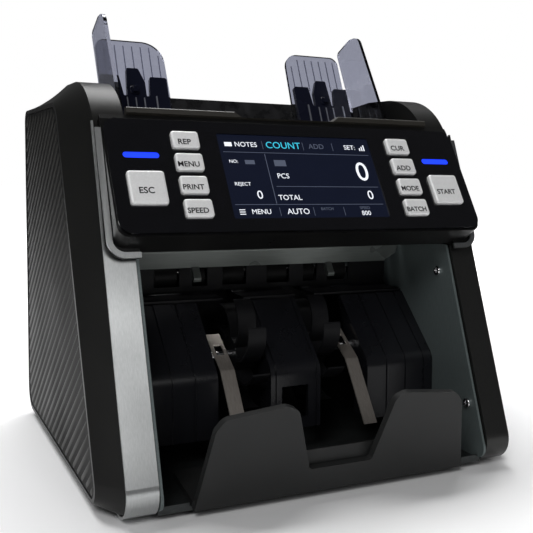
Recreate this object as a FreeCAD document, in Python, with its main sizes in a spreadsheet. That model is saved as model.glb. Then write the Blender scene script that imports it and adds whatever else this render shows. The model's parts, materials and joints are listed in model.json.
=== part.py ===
import FreeCAD, Part
import math
import os

import Sketcher

# A banknote counting machine in millimetres. X runs across the machine, the stacker bay
# faces -Y, Z is up, and the origin is on the floor under the middle of the machine.

DRIVING_SIZES = [
    # the body
    ("bay_width", 191),
    ("side_depth", 28.5),
    ("front_reach", 109.7),
    ("pillar_lean", 20.8),
    ("rear_reach", 113.5),
    ("foot_height", 3),
    ("foot_radius", 7),
    ("crown_height", 215.5),
    ("crown_flat_end", 28),
    ("crown_rear_drop", 10),
    ("crown_round", 50),
    ("toe_round", 12),
    ("cover_wall", 2.5),
    ("plate_thickness", 1.5),
    ("pan_thickness", 2.5),
    ("crown_overhang", 0.3),
    ("crown_base", 190),
    # the slanted outer face of each side cover and the ribbed insert in it
    ("bevel_depth", 12),
    ("face_reach", 93),
    ("face_lean", 24.9),
    ("face_top", 204),
    ("face_rear", 106),
    ("face_bottom", 5.2),
    ("insert_rim", 2.4),
    ("insert_recess", 1.6),
    ("insert_thickness", 1.2),
    ("insert_gap", 0.25),
    # front pillars
    ("trim_width", 16),
    ("trim_thickness", 1.2),
    ("trim_inset", 2.2),
    ("trim_line", 1.1),
    ("bay_ceiling", 126.5),
    # control head
    ("console_rise", 175.3),
    ("console_proud", 9.9),
    ("console_lean", 32.3),
    ("console_up", 22),
    ("console_down", 45),
    ("console_overlap", 14),
    ("console_wall", 2.4),
    ("console_depth", 39),
    ("glass_thickness", 2),
    ("glass_round", 7),
    ("band_width", 3),
    ("band_depth", 7),
    ("band_thickness", 1.2),
    ("carrier_thickness", 2.6),
    ("band_lean", 22.5),
    ("display_width", 95),
    ("display_height", 52),
    ("display_drop", 11.4),
    ("light_length", 19.1),
    ("light_height", 3.4),
    ("light_across", 91.5),
    ("large_key_across", 91.5),
    ("large_key_width", 19.6),
    ("large_key_height", 19.2),
    ("large_key_drop", 20),
    ("small_key_across", 66.5),
    ("small_key_width", 15.2),
    ("small_key_height", 10.4),
    ("small_key_pitch", 13.7),
    ("small_key_rise", 9.1),
    ("key_proud", 2.3),
    ("key_shoulder", 1.3),
    ("key_round", 1.6),
    ("key_gap", 0.35),
    ("key_travel", 1.2),
    ("board_depth", 11),
    ("board_thickness", 1.6),
    # hopper and note guides
    ("hopper_lean", 25),
    ("rim_y", 47),
    ("rim_drop", 2.5),
    ("hopper_length", 62),
    ("hopper_wall", 2.4),
    ("lip_height", 200.3),
    ("lip_step", 3),
    ("lip_notch", 29),
    ("guide_wall_gap", 11.4),
    ("guide_thickness", 2.2),
    ("guide_width", 47),
    ("guide_height", 38),
    ("guide_side_height", 41.5),
    ("guide_side_reach", 34),
    ("guide_foot_reach", 41),
    ("guide_drop", 40),
    ("guide_gap", 0.5),
    ("carriage_thickness", 3),
    ("carriage_width", 41),
    ("carriage_drop", 40),
    ("tab_height", 11),
    ("clip_height", 16.5),
    ("guide_travel", 35),
    ("gear_teeth", 16),
    ("gear_module", 1),
    ("gear_drop", 22),
    ("rack_thickness", 3.5),
    ("rack_height", 5),
    # transport
    ("shaft_radius", 3),
    ("running_gap", 0.05),
    ("pulley_radius", 9),
    ("pulley_width", 6),
    ("pulley_inset", 2.5),
    ("belt_thickness", 1.5),
    ("belt_gap", 0.3),
    ("motor_y", 48),
    ("motor_z", 40),
    ("motor_radius", 19),
    ("motor_length", 42),
    ("feed_y", 24),
    ("feed_z", 132),
    ("feed_roller_radius", 15),
    ("pickup_y", 0),
    ("pickup_z", 148),
    ("pickup_roller_radius", 12),
    ("exit_y", 13),
    ("exit_z", 103.5),
    ("exit_roller_radius", 8),
    ("stacker_y", -24),
    ("stacker_z", 60),
    ("stacker_wheel_radius", 34),
    ("stacker_wheel_across", 24),
    ("stacker_wheel_width", 11),
    ("stacker_hub_radius", 11),
    ("stacker_blades", 8),
    ("blade_thickness", 2.2),
    # stacker bay
    ("cover_top_y", -18),
    ("cover_top_z", 91),
    ("nose_y", -53.5),
    ("nose_z", 56),
    ("nose_round", 11),
    ("cover_bottom", 21),
    ("cover_skin", 2.4),
    ("side_stacker_inner", 48),
    ("centre_stacker_half", 16),
    ("groove_width", 1.2),
    ("groove_depth", 0.8),
    ("groove_pitch", 13.4),
    ("slide_inner", 36),
    ("slide_width", 8.5),
    ("slide_thickness", 0.8),
    ("crossbar_y", -11),
    ("crossbar_z", 121.5),
    ("crossbar_height", 11.2),
    ("crossbar_sheet", 1.2),
    ("finger_across", 45),
    ("finger_width", 4.5),
    ("tray_thickness", 4),
    ("tray_lean", 11),
    ("tray_foot", 80),
    ("horn_outer", 71.5),
    ("horn_inner", 34),
    ("horn_height", 50.5),
    ("notch_half", 18.5),
    ("notch_height", 13.5),
    ("step_height", 20),
    ("tray_inset", 4.76),
    ("pan_inset", 9.3),
    # rear
    ("rear_panel_top", 71),
    ("rear_thickness", 3),
    ("door_gap", 0.6),
    ("door_top", 186),
    ("door_pin_radius", 1.5),
    ("inlet_width", 27.4),
    ("inlet_height", 19.8),
    ("inlet_x", 58),
    ("inlet_z", 30),
    ("rocker_x", 22),
    ("rocker_width", 13),
    ("rocker_height", 19),
    ("rocker_swing", 8),
    ("rod_radius", 3),
    ("screw_radius", 1.5),
    ("screw_head_radius", 2.9),
    ("screw_head_height", 1.7),
]

FIT = 0.02
PLANES = {"side": "YZ_Plane", "front": "XZ_Plane", "top": "XY_Plane"}
SIDES = {"left": -1, "right": 1}

doc = FreeCAD.newDocument("banknote_counter")
sheet = doc.addObject("Spreadsheet::Sheet", "Sizes")
for row, (size_name, size_value) in enumerate(DRIVING_SIZES, start=1):
    sheet.set(f"A{row}", size_name)
    sheet.set(f"B{row}", str(size_value))
    sheet.setAlias(f"B{row}", size_name)
doc.recompute()


class Size:
    """A number that remembers the sheet expression that it was worked out from."""

    def __init__(self, value, text):
        self.value = float(value)
        self.text = text

    def __add__(self, other):
        other = size(other)
        return Size(self.value + other.value, f"({self.text} + {other.text})")

    def __sub__(self, other):
        other = size(other)
        return Size(self.value - other.value, f"({self.text} - {other.text})")

    def __mul__(self, other):
        other = size(other)
        return Size(self.value * other.value, f"({self.text} * {other.text})")

    def __truediv__(self, other):
        other = size(other)
        return Size(self.value / other.value, f"({self.text} / {other.text})")

    def __neg__(self):
        return Size(-self.value, f"(-1 * {self.text})")

    def __radd__(self, other):
        return size(other) + self

    def __rsub__(self, other):
        return size(other) - self

    def __rmul__(self, other):
        return size(other) * self

    def __rtruediv__(self, other):
        return size(other) / self


def size(value):
    """Turn a plain number into a Size, and leave a Size as it is."""
    if isinstance(value, Size):
        return value
    return Size(value, f"({float(value):.6g})")


class SheetSizes:
    """Each alias of the sheet as an attribute."""

    def __getattr__(self, name):
        return Size(getattr(sheet, name), f"Sizes.{name}")


s = SheetSizes()


def tan(angle):
    return Size(math.tan(math.radians(angle.value)), f"tan({angle.text})")


def sin(angle):
    return Size(math.sin(math.radians(angle.value)), f"sin({angle.text})")


def cos(angle):
    return Size(math.cos(math.radians(angle.value)), f"cos({angle.text})")


def distance(dy, dz):
    value = math.hypot(dy.value, dz.value)
    return Size(value, f"sqrt({dy.text} * {dy.text} + {dz.text} * {dz.text})")


def bind(item, path, value):
    """Give a property its value and tie it to the sheet."""
    item.setExpression(path, size(value).text)


# ---------------------------------------------------------------- sketches and features


def new_body(label):
    body = doc.addObject("PartDesign::Body", label)
    body.Label = label
    return body


def rectangle(x_low, x_high, y_low, y_high, radius=0):
    corners = [(x_low, y_low), (x_high, y_low), (x_high, y_high), (x_low, y_high)]
    return [(x, y, radius) for x, y in corners]


def circle(x, y, radius):
    return ("circle", x, y, radius)


def mirrored(corners, side):
    """The outline for the side at x > 0, or its mirror image."""
    return [(side * corner[0],) + tuple(corner[1:]) for corner in corners]


class Drawing:
    """The curves and constraints of one sketch, gathered before they go into it."""

    def __init__(self, outlines):
        self.outlines = outlines
        self.curves = []
        self.corners = []
        self.constraints = []
        self.sizes = []
        self.curve_total = sum(self.curve_count(outline) for outline in outlines)
        for outline in outlines:
            if outline[0] == "circle":
                self.add_circle(*outline[1:])
            else:
                self.add_outline(outline)

    def curve_count(self, outline):
        if outline[0] == "circle":
            return 1
        return len(outline) + sum(1 for corner in outline if len(corner) > 2 and has_round(corner))

    def add_curve(self, curve):
        self.curves.append(curve)
        return len(self.curves) - 1

    def tie(self, *parts):
        self.constraints.append(Sketcher.Constraint(*parts))

    def measure(self, value, *parts):
        """A dimension that follows the sheet."""
        self.sizes.append((len(self.constraints), value))
        self.tie(*parts, value.value)

    def fix_point(self, geometry, end, x, y):
        """Hold one point at x, y from the sketch's origin."""
        self.measure(x, "DistanceX", -1, 1, geometry, end)
        self.measure(y, "DistanceY", -1, 1, geometry, end)

    def add_circle(self, x, y, radius):
        x, y, radius = size(x), size(y), size(radius)
        centre = FreeCAD.Vector(x.value, y.value, 0)
        ring = self.add_curve(Part.Circle(centre, FreeCAD.Vector(0, 0, 1), radius.value))
        self.fix_point(ring, 3, x, y)
        self.measure(radius, "Radius", ring)

    def add_outline(self, outline):
        """A closed outline of straight lines. Each corner is (x, y) or (x, y, radius)."""
        outline = [tuple(size(value) for value in (tuple(corner) + (0,))[:3]) for corner in outline]
        count = len(outline)
        points = [FreeCAD.Vector(x.value, y.value, 0) for x, y, radius in outline]
        rounds = []
        for i in range(count):
            ahead = points[(i + 1) % count]
            rounds.append(corner_round(points[i - 1], points[i], ahead, outline[i][2].value))
        lines = []
        for i in range(count):
            lines.append(self.add_curve(Part.LineSegment(rounds[i][1], rounds[(i + 1) % count][0])))
        for i, (x, y, radius) in enumerate(outline):
            before, after = lines[i - 1], lines[i]
            start, end, centre = rounds[i]
            if centre is None:
                self.tie("Coincident", before, 2, after, 1)
                self.fix_point(after, 1, x, y)
                continue
            first_angle = math.atan2(start.y - centre.y, start.x - centre.x)
            last_angle = math.atan2(end.y - centre.y, end.x - centre.x)
            forward = (last_angle - first_angle) % (2 * math.pi) < math.pi
            if not forward:
                first_angle, last_angle = last_angle, first_angle
            ring = Part.Circle(centre, FreeCAD.Vector(0, 0, 1), radius.value)
            if last_angle < first_angle:
                last_angle += 2 * math.pi
            arc = self.add_curve(Part.ArcOfCircle(ring, first_angle, last_angle))
            first, last = (1, 2) if forward else (2, 1)
            corner = self.curve_total + len(self.corners)
            self.corners.append(Part.Point(points[i]))
            self.fix_point(corner, 1, x, y)
            self.tie("PointOnObject", corner, 1, before)
            self.tie("PointOnObject", corner, 1, after)
            self.tie("Tangent", before, 2, arc, first)
            self.tie("Tangent", arc, last, after, 1)
            self.measure(radius, "Radius", arc)

    def put_in(self, sketch):
        sketch.addGeometry(self.curves, False)
        if self.corners:
            sketch.addGeometry(self.corners, True)
        sketch.addConstraint(self.constraints)
        for index, value in self.sizes:
            bind(sketch, f"Constraints[{index}]", value)


def has_round(corner):
    return size(corner[2]).value != 0


def corner_round(before, corner, after, radius):
    """Where the round of a corner starts and ends, and its centre."""
    if radius == 0:
        return corner, corner, None
    back = (before - corner).normalize()
    ahead = (after - corner).normalize()
    half_angle = back.getAngle(ahead) / 2
    run = radius / math.tan(half_angle)
    centre = corner + (back + ahead).normalize() * (radius / math.sin(half_angle))
    return corner + back * run, corner + ahead * run, centre


class Face:
    """A plane that crosses the machine along X at (y, z) and leans from the vertical.

    A positive lean brings its top forward. Distances across it run along X, up it along
    the slope, and out of it forward, square to the slope.
    """

    def __init__(self, y, z, lean):
        self.y = size(y)
        self.z = size(z)
        self.lean = size(lean)

    def point(self, up, out):
        """The (y, z) of a place given as up and out of this face."""
        y = self.y - up * sin(self.lean) - out * cos(self.lean)
        z = self.z + up * cos(self.lean) - out * sin(self.lean)
        return y, z


def add_sketch(body, plane, low, outlines, face=None):
    """A sketch in the body, at the distance low along the plane's normal."""
    name = f"{body.Label}_sketch"
    sketch = body.newObject("Sketcher::SketchObject", name)
    origin = [item for item in body.Origin.OriginFeatures if item.Role == PLANES[plane]]
    sketch.AttachmentSupport = (origin[0], [""])
    sketch.MapMode = "FlatFace"
    low = size(low)
    if face is None:
        bind(sketch, "AttachmentOffset.Base.z", low)
    else:
        turn = FreeCAD.Rotation(FreeCAD.Vector(1, 0, 0), face.lean.value)
        sketch.AttachmentOffset = FreeCAD.Placement(FreeCAD.Vector(), turn)
        bind(sketch, "AttachmentOffset.Rotation.Angle", face.lean)
        bind(sketch, "AttachmentOffset.Base.y", face.z - low * sin(face.lean))
        bind(sketch, "AttachmentOffset.Base.z", low * cos(face.lean) - face.y)
    Drawing(outlines).put_in(sketch)
    return sketch


def prism(body, plane, low, high, outlines, face=None):
    """Add material between two distances along the plane's normal."""
    sketch = add_sketch(body, plane, low, outlines, face)
    pad = body.newObject("PartDesign::Pad", f"{body.Label}_pad")
    pad.Profile = sketch
    bind(pad, "Length", size(high) - low)
    return pad


def recess(body, plane, low, high, outlines, face=None):
    """Take material away between two distances along the plane's normal."""
    sketch = add_sketch(body, plane, low, outlines, face)
    pocket = body.newObject("PartDesign::Pocket", f"{body.Label}_pocket")
    pocket.Profile = sketch
    pocket.Reversed = True
    bind(pocket, "Length", size(high) - low)
    cuts.append((body, pocket))
    return pocket


def loft(body, kind, low, low_outline, high, high_outline):
    """Join two outlines across X with straight lines, to add or to take away."""
    first = add_sketch(body, "side", low, [low_outline])
    second = add_sketch(body, "side", high, [high_outline])
    feature = body.newObject(f"PartDesign::{kind}Loft", f"{body.Label}_loft")
    feature.Profile = first
    feature.Sections = [second]
    feature.Ruled = True
    if kind == "Subtractive":
        cuts.append((body, feature))
    return feature


def span(side, near, far):
    """The low and high x of a stretch between two distances from the middle."""
    near, far = size(near), size(far)
    if side > 0:
        return near, far
    return -far, -near


def round_edges(body, radius, wanted):
    """Round the edges of the body's last feature that the test picks."""
    doc.recompute()
    base = body.Tip
    names = []
    for number, edge in enumerate(base.Shape.Edges, start=1):
        if wanted(edge):
            names.append(f"Edge{number}")
    if not names:
        raise RuntimeError(f"{body.Label}: no edge to round")
    fillet = body.newObject("PartDesign::Fillet", f"{body.Label}_fillet")
    fillet.Base = (base, names)
    bind(fillet, "Radius", radius)
    return fillet


def compound(label, shapes):
    """A node of several like solids, each made with Part's own functions."""
    group = doc.addObject("Part::Feature", label)
    group.Label = label
    group.Shape = Part.makeCompound(shapes)
    return group


cuts = []
nodes = []


def node(item):
    nodes.append(item)
    return item


# ---------------------------------------------------------------- shared places

half_bay = s.bay_width / 2
plate_outer = half_bay + s.plate_thickness
cover_inner = plate_outer + 0.3
crown_inner = half_bay - s.crown_overhang
half_width = half_bay + s.side_depth
bevel_start = half_width - s.bevel_depth
console_half = half_bay + s.console_overlap
trim_outer = half_bay + s.trim_inset + s.trim_width
crown_rear = s.crown_height - s.crown_rear_drop
pan_top = s.foot_height + s.pan_thickness
rear_inner = s.rear_reach - s.rear_thickness
door_pivot_y = rear_inner - 0.5
door_pivot_z = s.rear_panel_top + s.door_gap + s.rear_thickness


def front_line(z):
    """The y of the pillars' front at the height z."""
    return z * tan(s.pillar_lean) - s.front_reach


console = Face(front_line(s.console_rise) - s.console_proud, s.console_rise, -s.console_lean)
pillar = Face(front_line(s.bay_ceiling), s.bay_ceiling, -s.pillar_lean)
hopper = Face(s.rim_y, s.crown_height - s.rim_drop, -s.hopper_lean)
tray_front = Face(front_line(s.foot_height) + s.tray_inset, s.foot_height + 1, s.tray_lean)
band = Face(front_line(s.bay_ceiling) - s.band_depth, s.bay_ceiling + 1, -s.band_lean)

shaft_places = {
    "pickup": (s.pickup_y, s.pickup_z),
    "feed": (s.feed_y, s.feed_z),
    "exit": (s.exit_y, s.exit_z),
    "stacker": (s.stacker_y, s.stacker_z),
}
motor_place = (s.motor_y, s.motor_z)
rod_places = [(size(82), size(28)), (size(78), size(112)), (size(64), size(176))]
wall_screw_places = [(front_line(size(109)) + 13, size(109)), (front_line(size(35)) + 8, size(35))]


def console_outline(gap=0):
    """The control head seen from the side, grown by the gap."""
    gap = size(gap)
    top_front = console.point(s.console_up + 1 + gap, gap - s.glass_thickness)
    bottom_front = console.point(-s.console_down - 1 - gap, gap - s.glass_thickness)
    top_rear = console.point(s.console_up + 4 + gap, -s.glass_thickness - 0.5)
    back = console.y + s.console_depth + gap
    return [
        top_front,
        bottom_front,
        (front_line(s.bay_ceiling) - 2 - gap, s.bay_ceiling - gap),
        (back, s.bay_ceiling - gap),
        (back, s.bay_ceiling + 23.5 + gap),
        (back - 10, s.bay_ceiling + 35.5 + gap),
        (top_rear[0] + gap, top_rear[1] + gap),
    ]


def console_cavity():
    """The hollow of the control head seen from the side, open at its back."""
    wall = s.console_wall
    deep = -s.glass_thickness - wall
    back = console.y + s.console_depth
    top_y, top_z = console.point(s.console_up - 6, deep)
    return [
        (top_y + 3.5, top_z),
        (top_y, top_z),
        console.point(wall - s.console_down - 1, deep),
        (front_line(s.bay_ceiling) - 2 + wall, s.bay_ceiling + wall),
        (back + 1, s.bay_ceiling + wall),
        (back + 1, s.bay_ceiling + 23.5 - wall),
        (back - 10 - wall, s.bay_ceiling + 35.5 - wall),
    ]


# ---------------------------------------------------------------- side covers


def cover_outline(gap=0):
    """The side cover's outline against the frame, drawn in by the gap."""
    gap = size(gap)
    low = s.foot_height + gap
    top = s.crown_height - gap
    rear_top = crown_rear - gap
    rear = s.rear_reach - gap
    slant = gap / cos(s.pillar_lean)
    return [
        (front_line(low) + slant, low, s.toe_round - gap * 0.8),
        (front_line(top) + slant, top, s.crown_round - gap),
        (s.crown_flat_end, top),
        (rear, rear_top, 14 - gap),
        (rear, low, 24 - gap),
    ]


def face_line(z):
    """The y of the front edge of the cover's outer face at the height z."""
    return z * tan(s.face_lean) - s.face_reach


def face_outline(gap=0):
    """The flat outer face of the side cover, drawn in by the gap."""
    gap = size(gap)
    low = s.face_bottom + gap
    top = s.face_top - gap
    rear = s.face_rear - gap
    slant = gap / cos(s.face_lean)
    return [
        (face_line(low) + slant, low, 9 - gap),
        (face_line(top) + slant, top, 16 - gap),
        (s.crown_flat_end, top),
        (rear, top, 8 - gap),
        (rear, low, 14 - gap),
    ]


def insert_outline(gap):
    """The ribbed insert and its recess, without the cover's extra corner."""
    corners = face_outline(s.insert_rim + gap)
    return [corners[0], corners[1], corners[3], corners[4]]


def swap_sections(side, first, second):
    return (first, second) if side > 0 else (second, first)


def side_cover(name, side):
    body = new_body(f"{name}_side_cover")
    low, high = span(side, crown_inner, bevel_start)
    prism(body, "side", low, high, [cover_outline()])
    inner_x, outer_x = side * bevel_start, side * half_width
    loft(body, "Additive", inner_x, cover_outline(), outer_x, face_outline())
    wall = s.cover_wall
    low, high = span(side, crown_inner + 2, bevel_start - wall)
    recess(body, "side", low, high, [cover_outline(wall)])
    inner_x, outer_x = side * (bevel_start - wall), side * (half_width - wall - 1)
    loft(body, "Subtractive", inner_x, cover_outline(wall), outer_x, face_outline(wall + 1))
    low, high = span(side, half_width - s.insert_recess, half_width + 1)
    recess(body, "side", low, high, [insert_outline(0)])
    low, high = span(side, crown_inner - 1, cover_inner)
    reach = s.front_reach + 10
    below_crown = rectangle(-reach, s.rear_reach + 10, s.foot_height - 1, s.crown_base)
    recess(body, "side", low, high, [below_crown])
    low, high = span(side, crown_inner - 1, console_half + 0.3)
    recess(body, "side", low, high, [console_outline(0.3)])
    return node(body)


def side_inserts():
    """The flat plates that carry the ribs, one let into each side cover."""
    shapes = []
    back = (half_width - s.insert_recess).value
    for side in (-1, 1):
        start = back if side > 0 else -back - s.insert_thickness.value
        outline = Part.Face(outline_wire(insert_outline(s.insert_gap)))
        plate = outline.extrude(FreeCAD.Vector(s.insert_thickness.value, 0, 0))
        plate.translate(FreeCAD.Vector(start, 0, 0))
        shapes.append(plate)
    return node(compound("side_inserts", shapes))


def outline_wire(outline):
    """A closed wire in the YZ plane. Each corner is (y, z) or (y, z, radius)."""
    corners = [tuple(size(value).value for value in (tuple(corner) + (0,))[:3]) for corner in outline]
    points = [FreeCAD.Vector(0, y, z) for y, z, radius in corners]
    rounds = []
    for i, (y, z, radius) in enumerate(corners):
        ahead = points[(i + 1) % len(points)]
        rounds.append(corner_round(points[i - 1], points[i], ahead, radius))
    edges = []
    for i, (start, end, centre) in enumerate(rounds):
        if centre is not None:
            middle = centre + (points[i] - centre).normalize() * corners[i][2]
            edges.append(Part.Arc(start, middle, end).toShape())
        edges.append(Part.makeLine(end, rounds[(i + 1) % len(rounds)][0]))
    return Part.Wire(edges)


# ---------------------------------------------------------------- frame


def frame_plate(name, side):
    body = new_body(f"{name}_frame_plate")
    low, high = span(side, half_bay, plate_outer)
    outline = [
        (front_line(pan_top) + 0.6, pan_top, 6),
        (front_line(s.bay_ceiling - 1) + 0.6, s.bay_ceiling - 1),
        (console.y + s.console_depth + 0.6, s.bay_ceiling - 1),
        (console.y + s.console_depth + 0.6, s.crown_base - 2, 8),
        (s.rear_reach - 1, s.crown_base - 2, 4),
        (s.rear_reach - 1, pan_top),
    ]
    holes = []
    for y, z in shaft_places.values():
        holes.append(circle(y, z, s.shaft_radius + s.running_gap))
    if side > 0:
        holes.append(circle(*motor_place, s.shaft_radius + s.running_gap))
    for y, z in rod_places + wall_screw_places:
        holes.append(circle(y, z, s.screw_radius))
    holes.append(circle(door_pivot_y, door_pivot_z, s.door_pin_radius + s.running_gap))
    prism(body, "side", low, high, [outline] + holes)
    return node(body)


def base_pan():
    body = new_body("base_pan")
    edge = plate_outer
    front = front_line(s.foot_height) + s.pan_inset
    floor = rectangle(-edge, edge, front, s.rear_reach - 1)
    holes = [circle(x, y, s.screw_radius) for x, y in foot_places()]
    prism(body, "top", s.foot_height, pan_top, [floor] + holes)
    for side in (-1, 1):
        low, high = span(side, s.tray_foot + 0.6, half_bay - 0.2)
        prism(body, "top", pan_top, pan_top + 1.6, [rectangle(low, high, front, front + 1.2)])
    return node(body)


def foot_places():
    across = half_bay - 10
    return [(x, y) for x in (-across, across) for y in (-s.front_reach + 30, s.rear_reach - 20)]


def rubber_feet():
    shapes = []
    for x, y in foot_places():
        centre = FreeCAD.Vector(x.value, y.value, 0)
        up = FreeCAD.Vector(0, 0, 1)
        foot = Part.makeCylinder(s.foot_radius.value, s.foot_height.value, centre, up)
        hole = Part.makeCylinder(s.screw_radius.value, s.foot_height.value, centre, up)
        rim = [edge for edge in foot.Edges if edge.BoundBox.ZMax < 0.01 and edge.Length > 10]
        shapes.append(foot.makeFillet(0.6, rim[:1]).cut(hole))
    return node(compound("rubber_feet", shapes))


def pan_screw(x, y, z, direction, length):
    """A pan-head screw with a cross recess; z is under its head, which faces direction."""
    start = FreeCAD.Vector(x, y, z)
    head_radius = s.screw_head_radius.value
    height = s.screw_head_height.value
    head = Part.makeCylinder(head_radius, height, start, direction)
    crown = start + direction * height
    rim = [edge for edge in head.Edges if (edge.CenterOfMass - crown).Length < 0.01]
    head = head.makeFillet(height * 0.45, rim[:1])
    shank = Part.makeCylinder(s.screw_radius.value - FIT, length, start, -direction)
    screw = head.fuse(shank)
    for turn in (0, 90):
        slot = Part.makeBox(head_radius * 1.1, 0.7, height)
        slot.translate(FreeCAD.Vector(-head_radius * 0.55, -0.35, height * 0.45))
        slot.rotate(FreeCAD.Vector(), FreeCAD.Vector(0, 0, 1), turn)
        slot.Placement = FreeCAD.Placement(
            start, FreeCAD.Rotation(FreeCAD.Vector(0, 0, 1), direction)
        ).multiply(slot.Placement)
        screw = screw.cut(slot)
    return screw


def frame_screws():
    """Screws that hold the frame: two in each bay wall, the tie rods' and the feet's."""
    shapes = []
    for side in (-1, 1):
        inward = FreeCAD.Vector(-side, 0, 0)
        wall = side * half_bay.value
        for y, z in wall_screw_places:
            shapes.append(pan_screw(wall, y.value, z.value, inward, 4))
        outward = FreeCAD.Vector(side, 0, 0)
        for y, z in rod_places:
            shapes.append(pan_screw(side * plate_outer.value, y.value, z.value, outward, 8))
    return node(compound("frame_screws", shapes))


def tie_rods():
    shapes = []
    along = FreeCAD.Vector(1, 0, 0)
    length = s.bay_width.value
    for y, z in rod_places:
        start = FreeCAD.Vector(-length / 2, y.value, z.value)
        rod = Part.makeCylinder(s.rod_radius.value, length, start, along)
        for hole_x in (-length / 2, length / 2 - 8):
            place = FreeCAD.Vector(hole_x, y.value, z.value)
            rod = rod.cut(Part.makeCylinder(s.screw_radius.value, 8, place, along))
        shapes.append(rod)
    return node(compound("tie_rods", shapes))


def front_trim(name, side):
    """The metal strip on a pillar: it turns under at the toe, and runs up thin at the head."""
    body = new_body(f"{name}_front_trim")
    inner = half_bay + s.trim_inset
    line_inner = trim_outer - s.trim_line
    thick = s.trim_thickness
    slant = thick / cos(s.pillar_lean)
    low = s.foot_height
    top = s.bay_ceiling - 8
    heel = front_line(low) + 22
    strip = [
        (heel, low),
        (heel, low - thick),
        (front_line(low - thick) - slant, low - thick, s.toe_round + thick),
        (front_line(top) - slant, top),
        (front_line(top), top),
        (front_line(low), low, s.toe_round),
    ]
    near, far = span(side, inner, trim_outer)
    prism(body, "side", near, far, [strip])
    foot = -9 / cos(s.pillar_lean)
    crest = (s.crown_base + 2 - s.bay_ceiling) / cos(s.pillar_lean)
    outline = [
        (inner, foot),
        (trim_outer, foot),
        (trim_outer, crest),
        (line_inner, crest),
        (line_inner, -1, 6),
        (inner, -1),
    ]
    prism(body, "front", 0, thick, [mirrored(outline, side)], pillar)
    return node(body)


# ---------------------------------------------------------------- control head


def console_housing():
    body = new_body("console_housing")
    prism(body, "side", -console_half, console_half, [console_outline()])
    rim = console_half.value
    under = (s.bay_ceiling + 9).value
    round_edges(body, 6, lambda edge: is_side_edge(edge, rim, under))
    for side in (-1, 1):
        carrier = mirrored(band_carrier(), side)
        back = -s.band_thickness
        prism(body, "front", back - s.carrier_thickness, back, [carrier], band)
    inside = console_half - s.console_wall
    recess(body, "side", -inside, inside, [console_cavity()])
    deep = -s.glass_thickness - s.console_wall - 1
    for outlines in face_openings(1.5, 0.2, s.key_gap + 0.3):
        recess(body, "front", deep, 1, outlines, console)
    return node(body)


def is_side_edge(edge, x, top):
    """Whether an edge lies in the plane |x| and below the height top."""
    box = edge.BoundBox
    flat = box.XLength < 0.01 and abs(abs(box.XMin) - x) < 0.01
    return flat and box.ZMax < top and box.YLength > 5


def face_openings(window_gap, light_gap, key_gap):
    """The openings in the control head's face, in groups: display, lights and keys."""
    groups = [[display_window(window_gap)], light_outlines(light_gap)]
    for first in (0, 5):
        groups.append([key_outline(key, key_gap) for key in KEYS[first:first + 5]])
    return groups


def display_window(gap):
    half = s.display_width / 2 + gap
    middle = -s.display_drop
    half_high = s.display_height / 2 + gap
    return rectangle(-half, half, middle - half_high, middle + half_high, 1)


def light_outlines(gap):
    outlines = []
    half = s.light_length / 2 + gap
    half_high = s.light_height / 2 + gap
    for side in (-1, 1):
        middle = side * s.light_across
        outline = rectangle(middle - half, middle + half, -half_high, half_high, half_high - 0.05)
        outlines.append(outline)
    return outlines


KEYS = ["esc", "rep", "menu", "print", "speed", "start", "cur", "add", "mode", "batch"]


def key_place(key):
    """The middle and the half width and half height of a key on the control head."""
    side = -1 if KEYS.index(key) < 5 else 1
    order = KEYS.index(key) % 5
    if order == 0:
        half = (s.large_key_width / 2, s.large_key_height / 2)
        return side * s.large_key_across, -s.large_key_drop, *half
    rise = s.small_key_rise - (order - 1) * s.small_key_pitch
    return side * s.small_key_across, rise, s.small_key_width / 2, s.small_key_height / 2


def key_outline(key, gap):
    x, up, half, half_high = key_place(key)
    edges = (x - half - gap, x + half + gap, up - half_high - gap, up + half_high + gap)
    return rectangle(*edges, s.key_round)


def console_glass():
    body = new_body("console_glass")
    half = console_half - 0.6
    outline = rectangle(-half, half, -s.console_down, s.console_up, s.glass_round)
    prism(body, "front", -s.glass_thickness, 0, [outline], console)
    for outlines in face_openings(0.15, 0.1, s.key_gap):
        recess(body, "front", -s.glass_thickness - 1, 1, outlines, console)
    return node(body)


def status_lights():
    """Two light pipes. Each is one solid, and both are in this node."""
    shapes = []
    for side in (-1, 1):
        length = s.light_length.value - 0.1
        height = s.light_height.value - 0.1
        bar = Part.makeBox(length, height, 5)
        long_edges = [edge for edge in bar.Edges if edge.BoundBox.ZLength > 4]
        bar = bar.makeFillet(height / 2 - 0.05, long_edges)
        bar.translate(FreeCAD.Vector(side * s.light_across.value - length / 2, -height / 2, -5.2))
        shapes.append(on_face(bar, console))
    return node(compound("status_lights", shapes))


def on_face(shape, face):
    """Move a shape drawn with x across, y up and z out of a face to that face."""
    turn = FreeCAD.Rotation(FreeCAD.Vector(1, 0, 0), 90 + face.lean.value)
    place = FreeCAD.Placement(FreeCAD.Vector(0, face.y.value, face.z.value), turn)
    shape.Placement = place.multiply(shape.Placement)
    return shape


def lcd_module():
    body = new_body("lcd_module")
    prism(body, "front", -2.1, -0.5, [display_window(0)], console)
    prism(body, "front", -5.5, -2.1, [display_window(1.2)], console)
    return node(body)


def keypad_board():
    body = new_body("keypad_board")
    half = console_half - 5
    top = s.console_up - 10
    outline = rectangle(-half, half, -s.console_down + 6, top, 2)
    prism(body, "front", -s.board_depth - s.board_thickness, -s.board_depth, [outline], console)
    return node(body)


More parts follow.
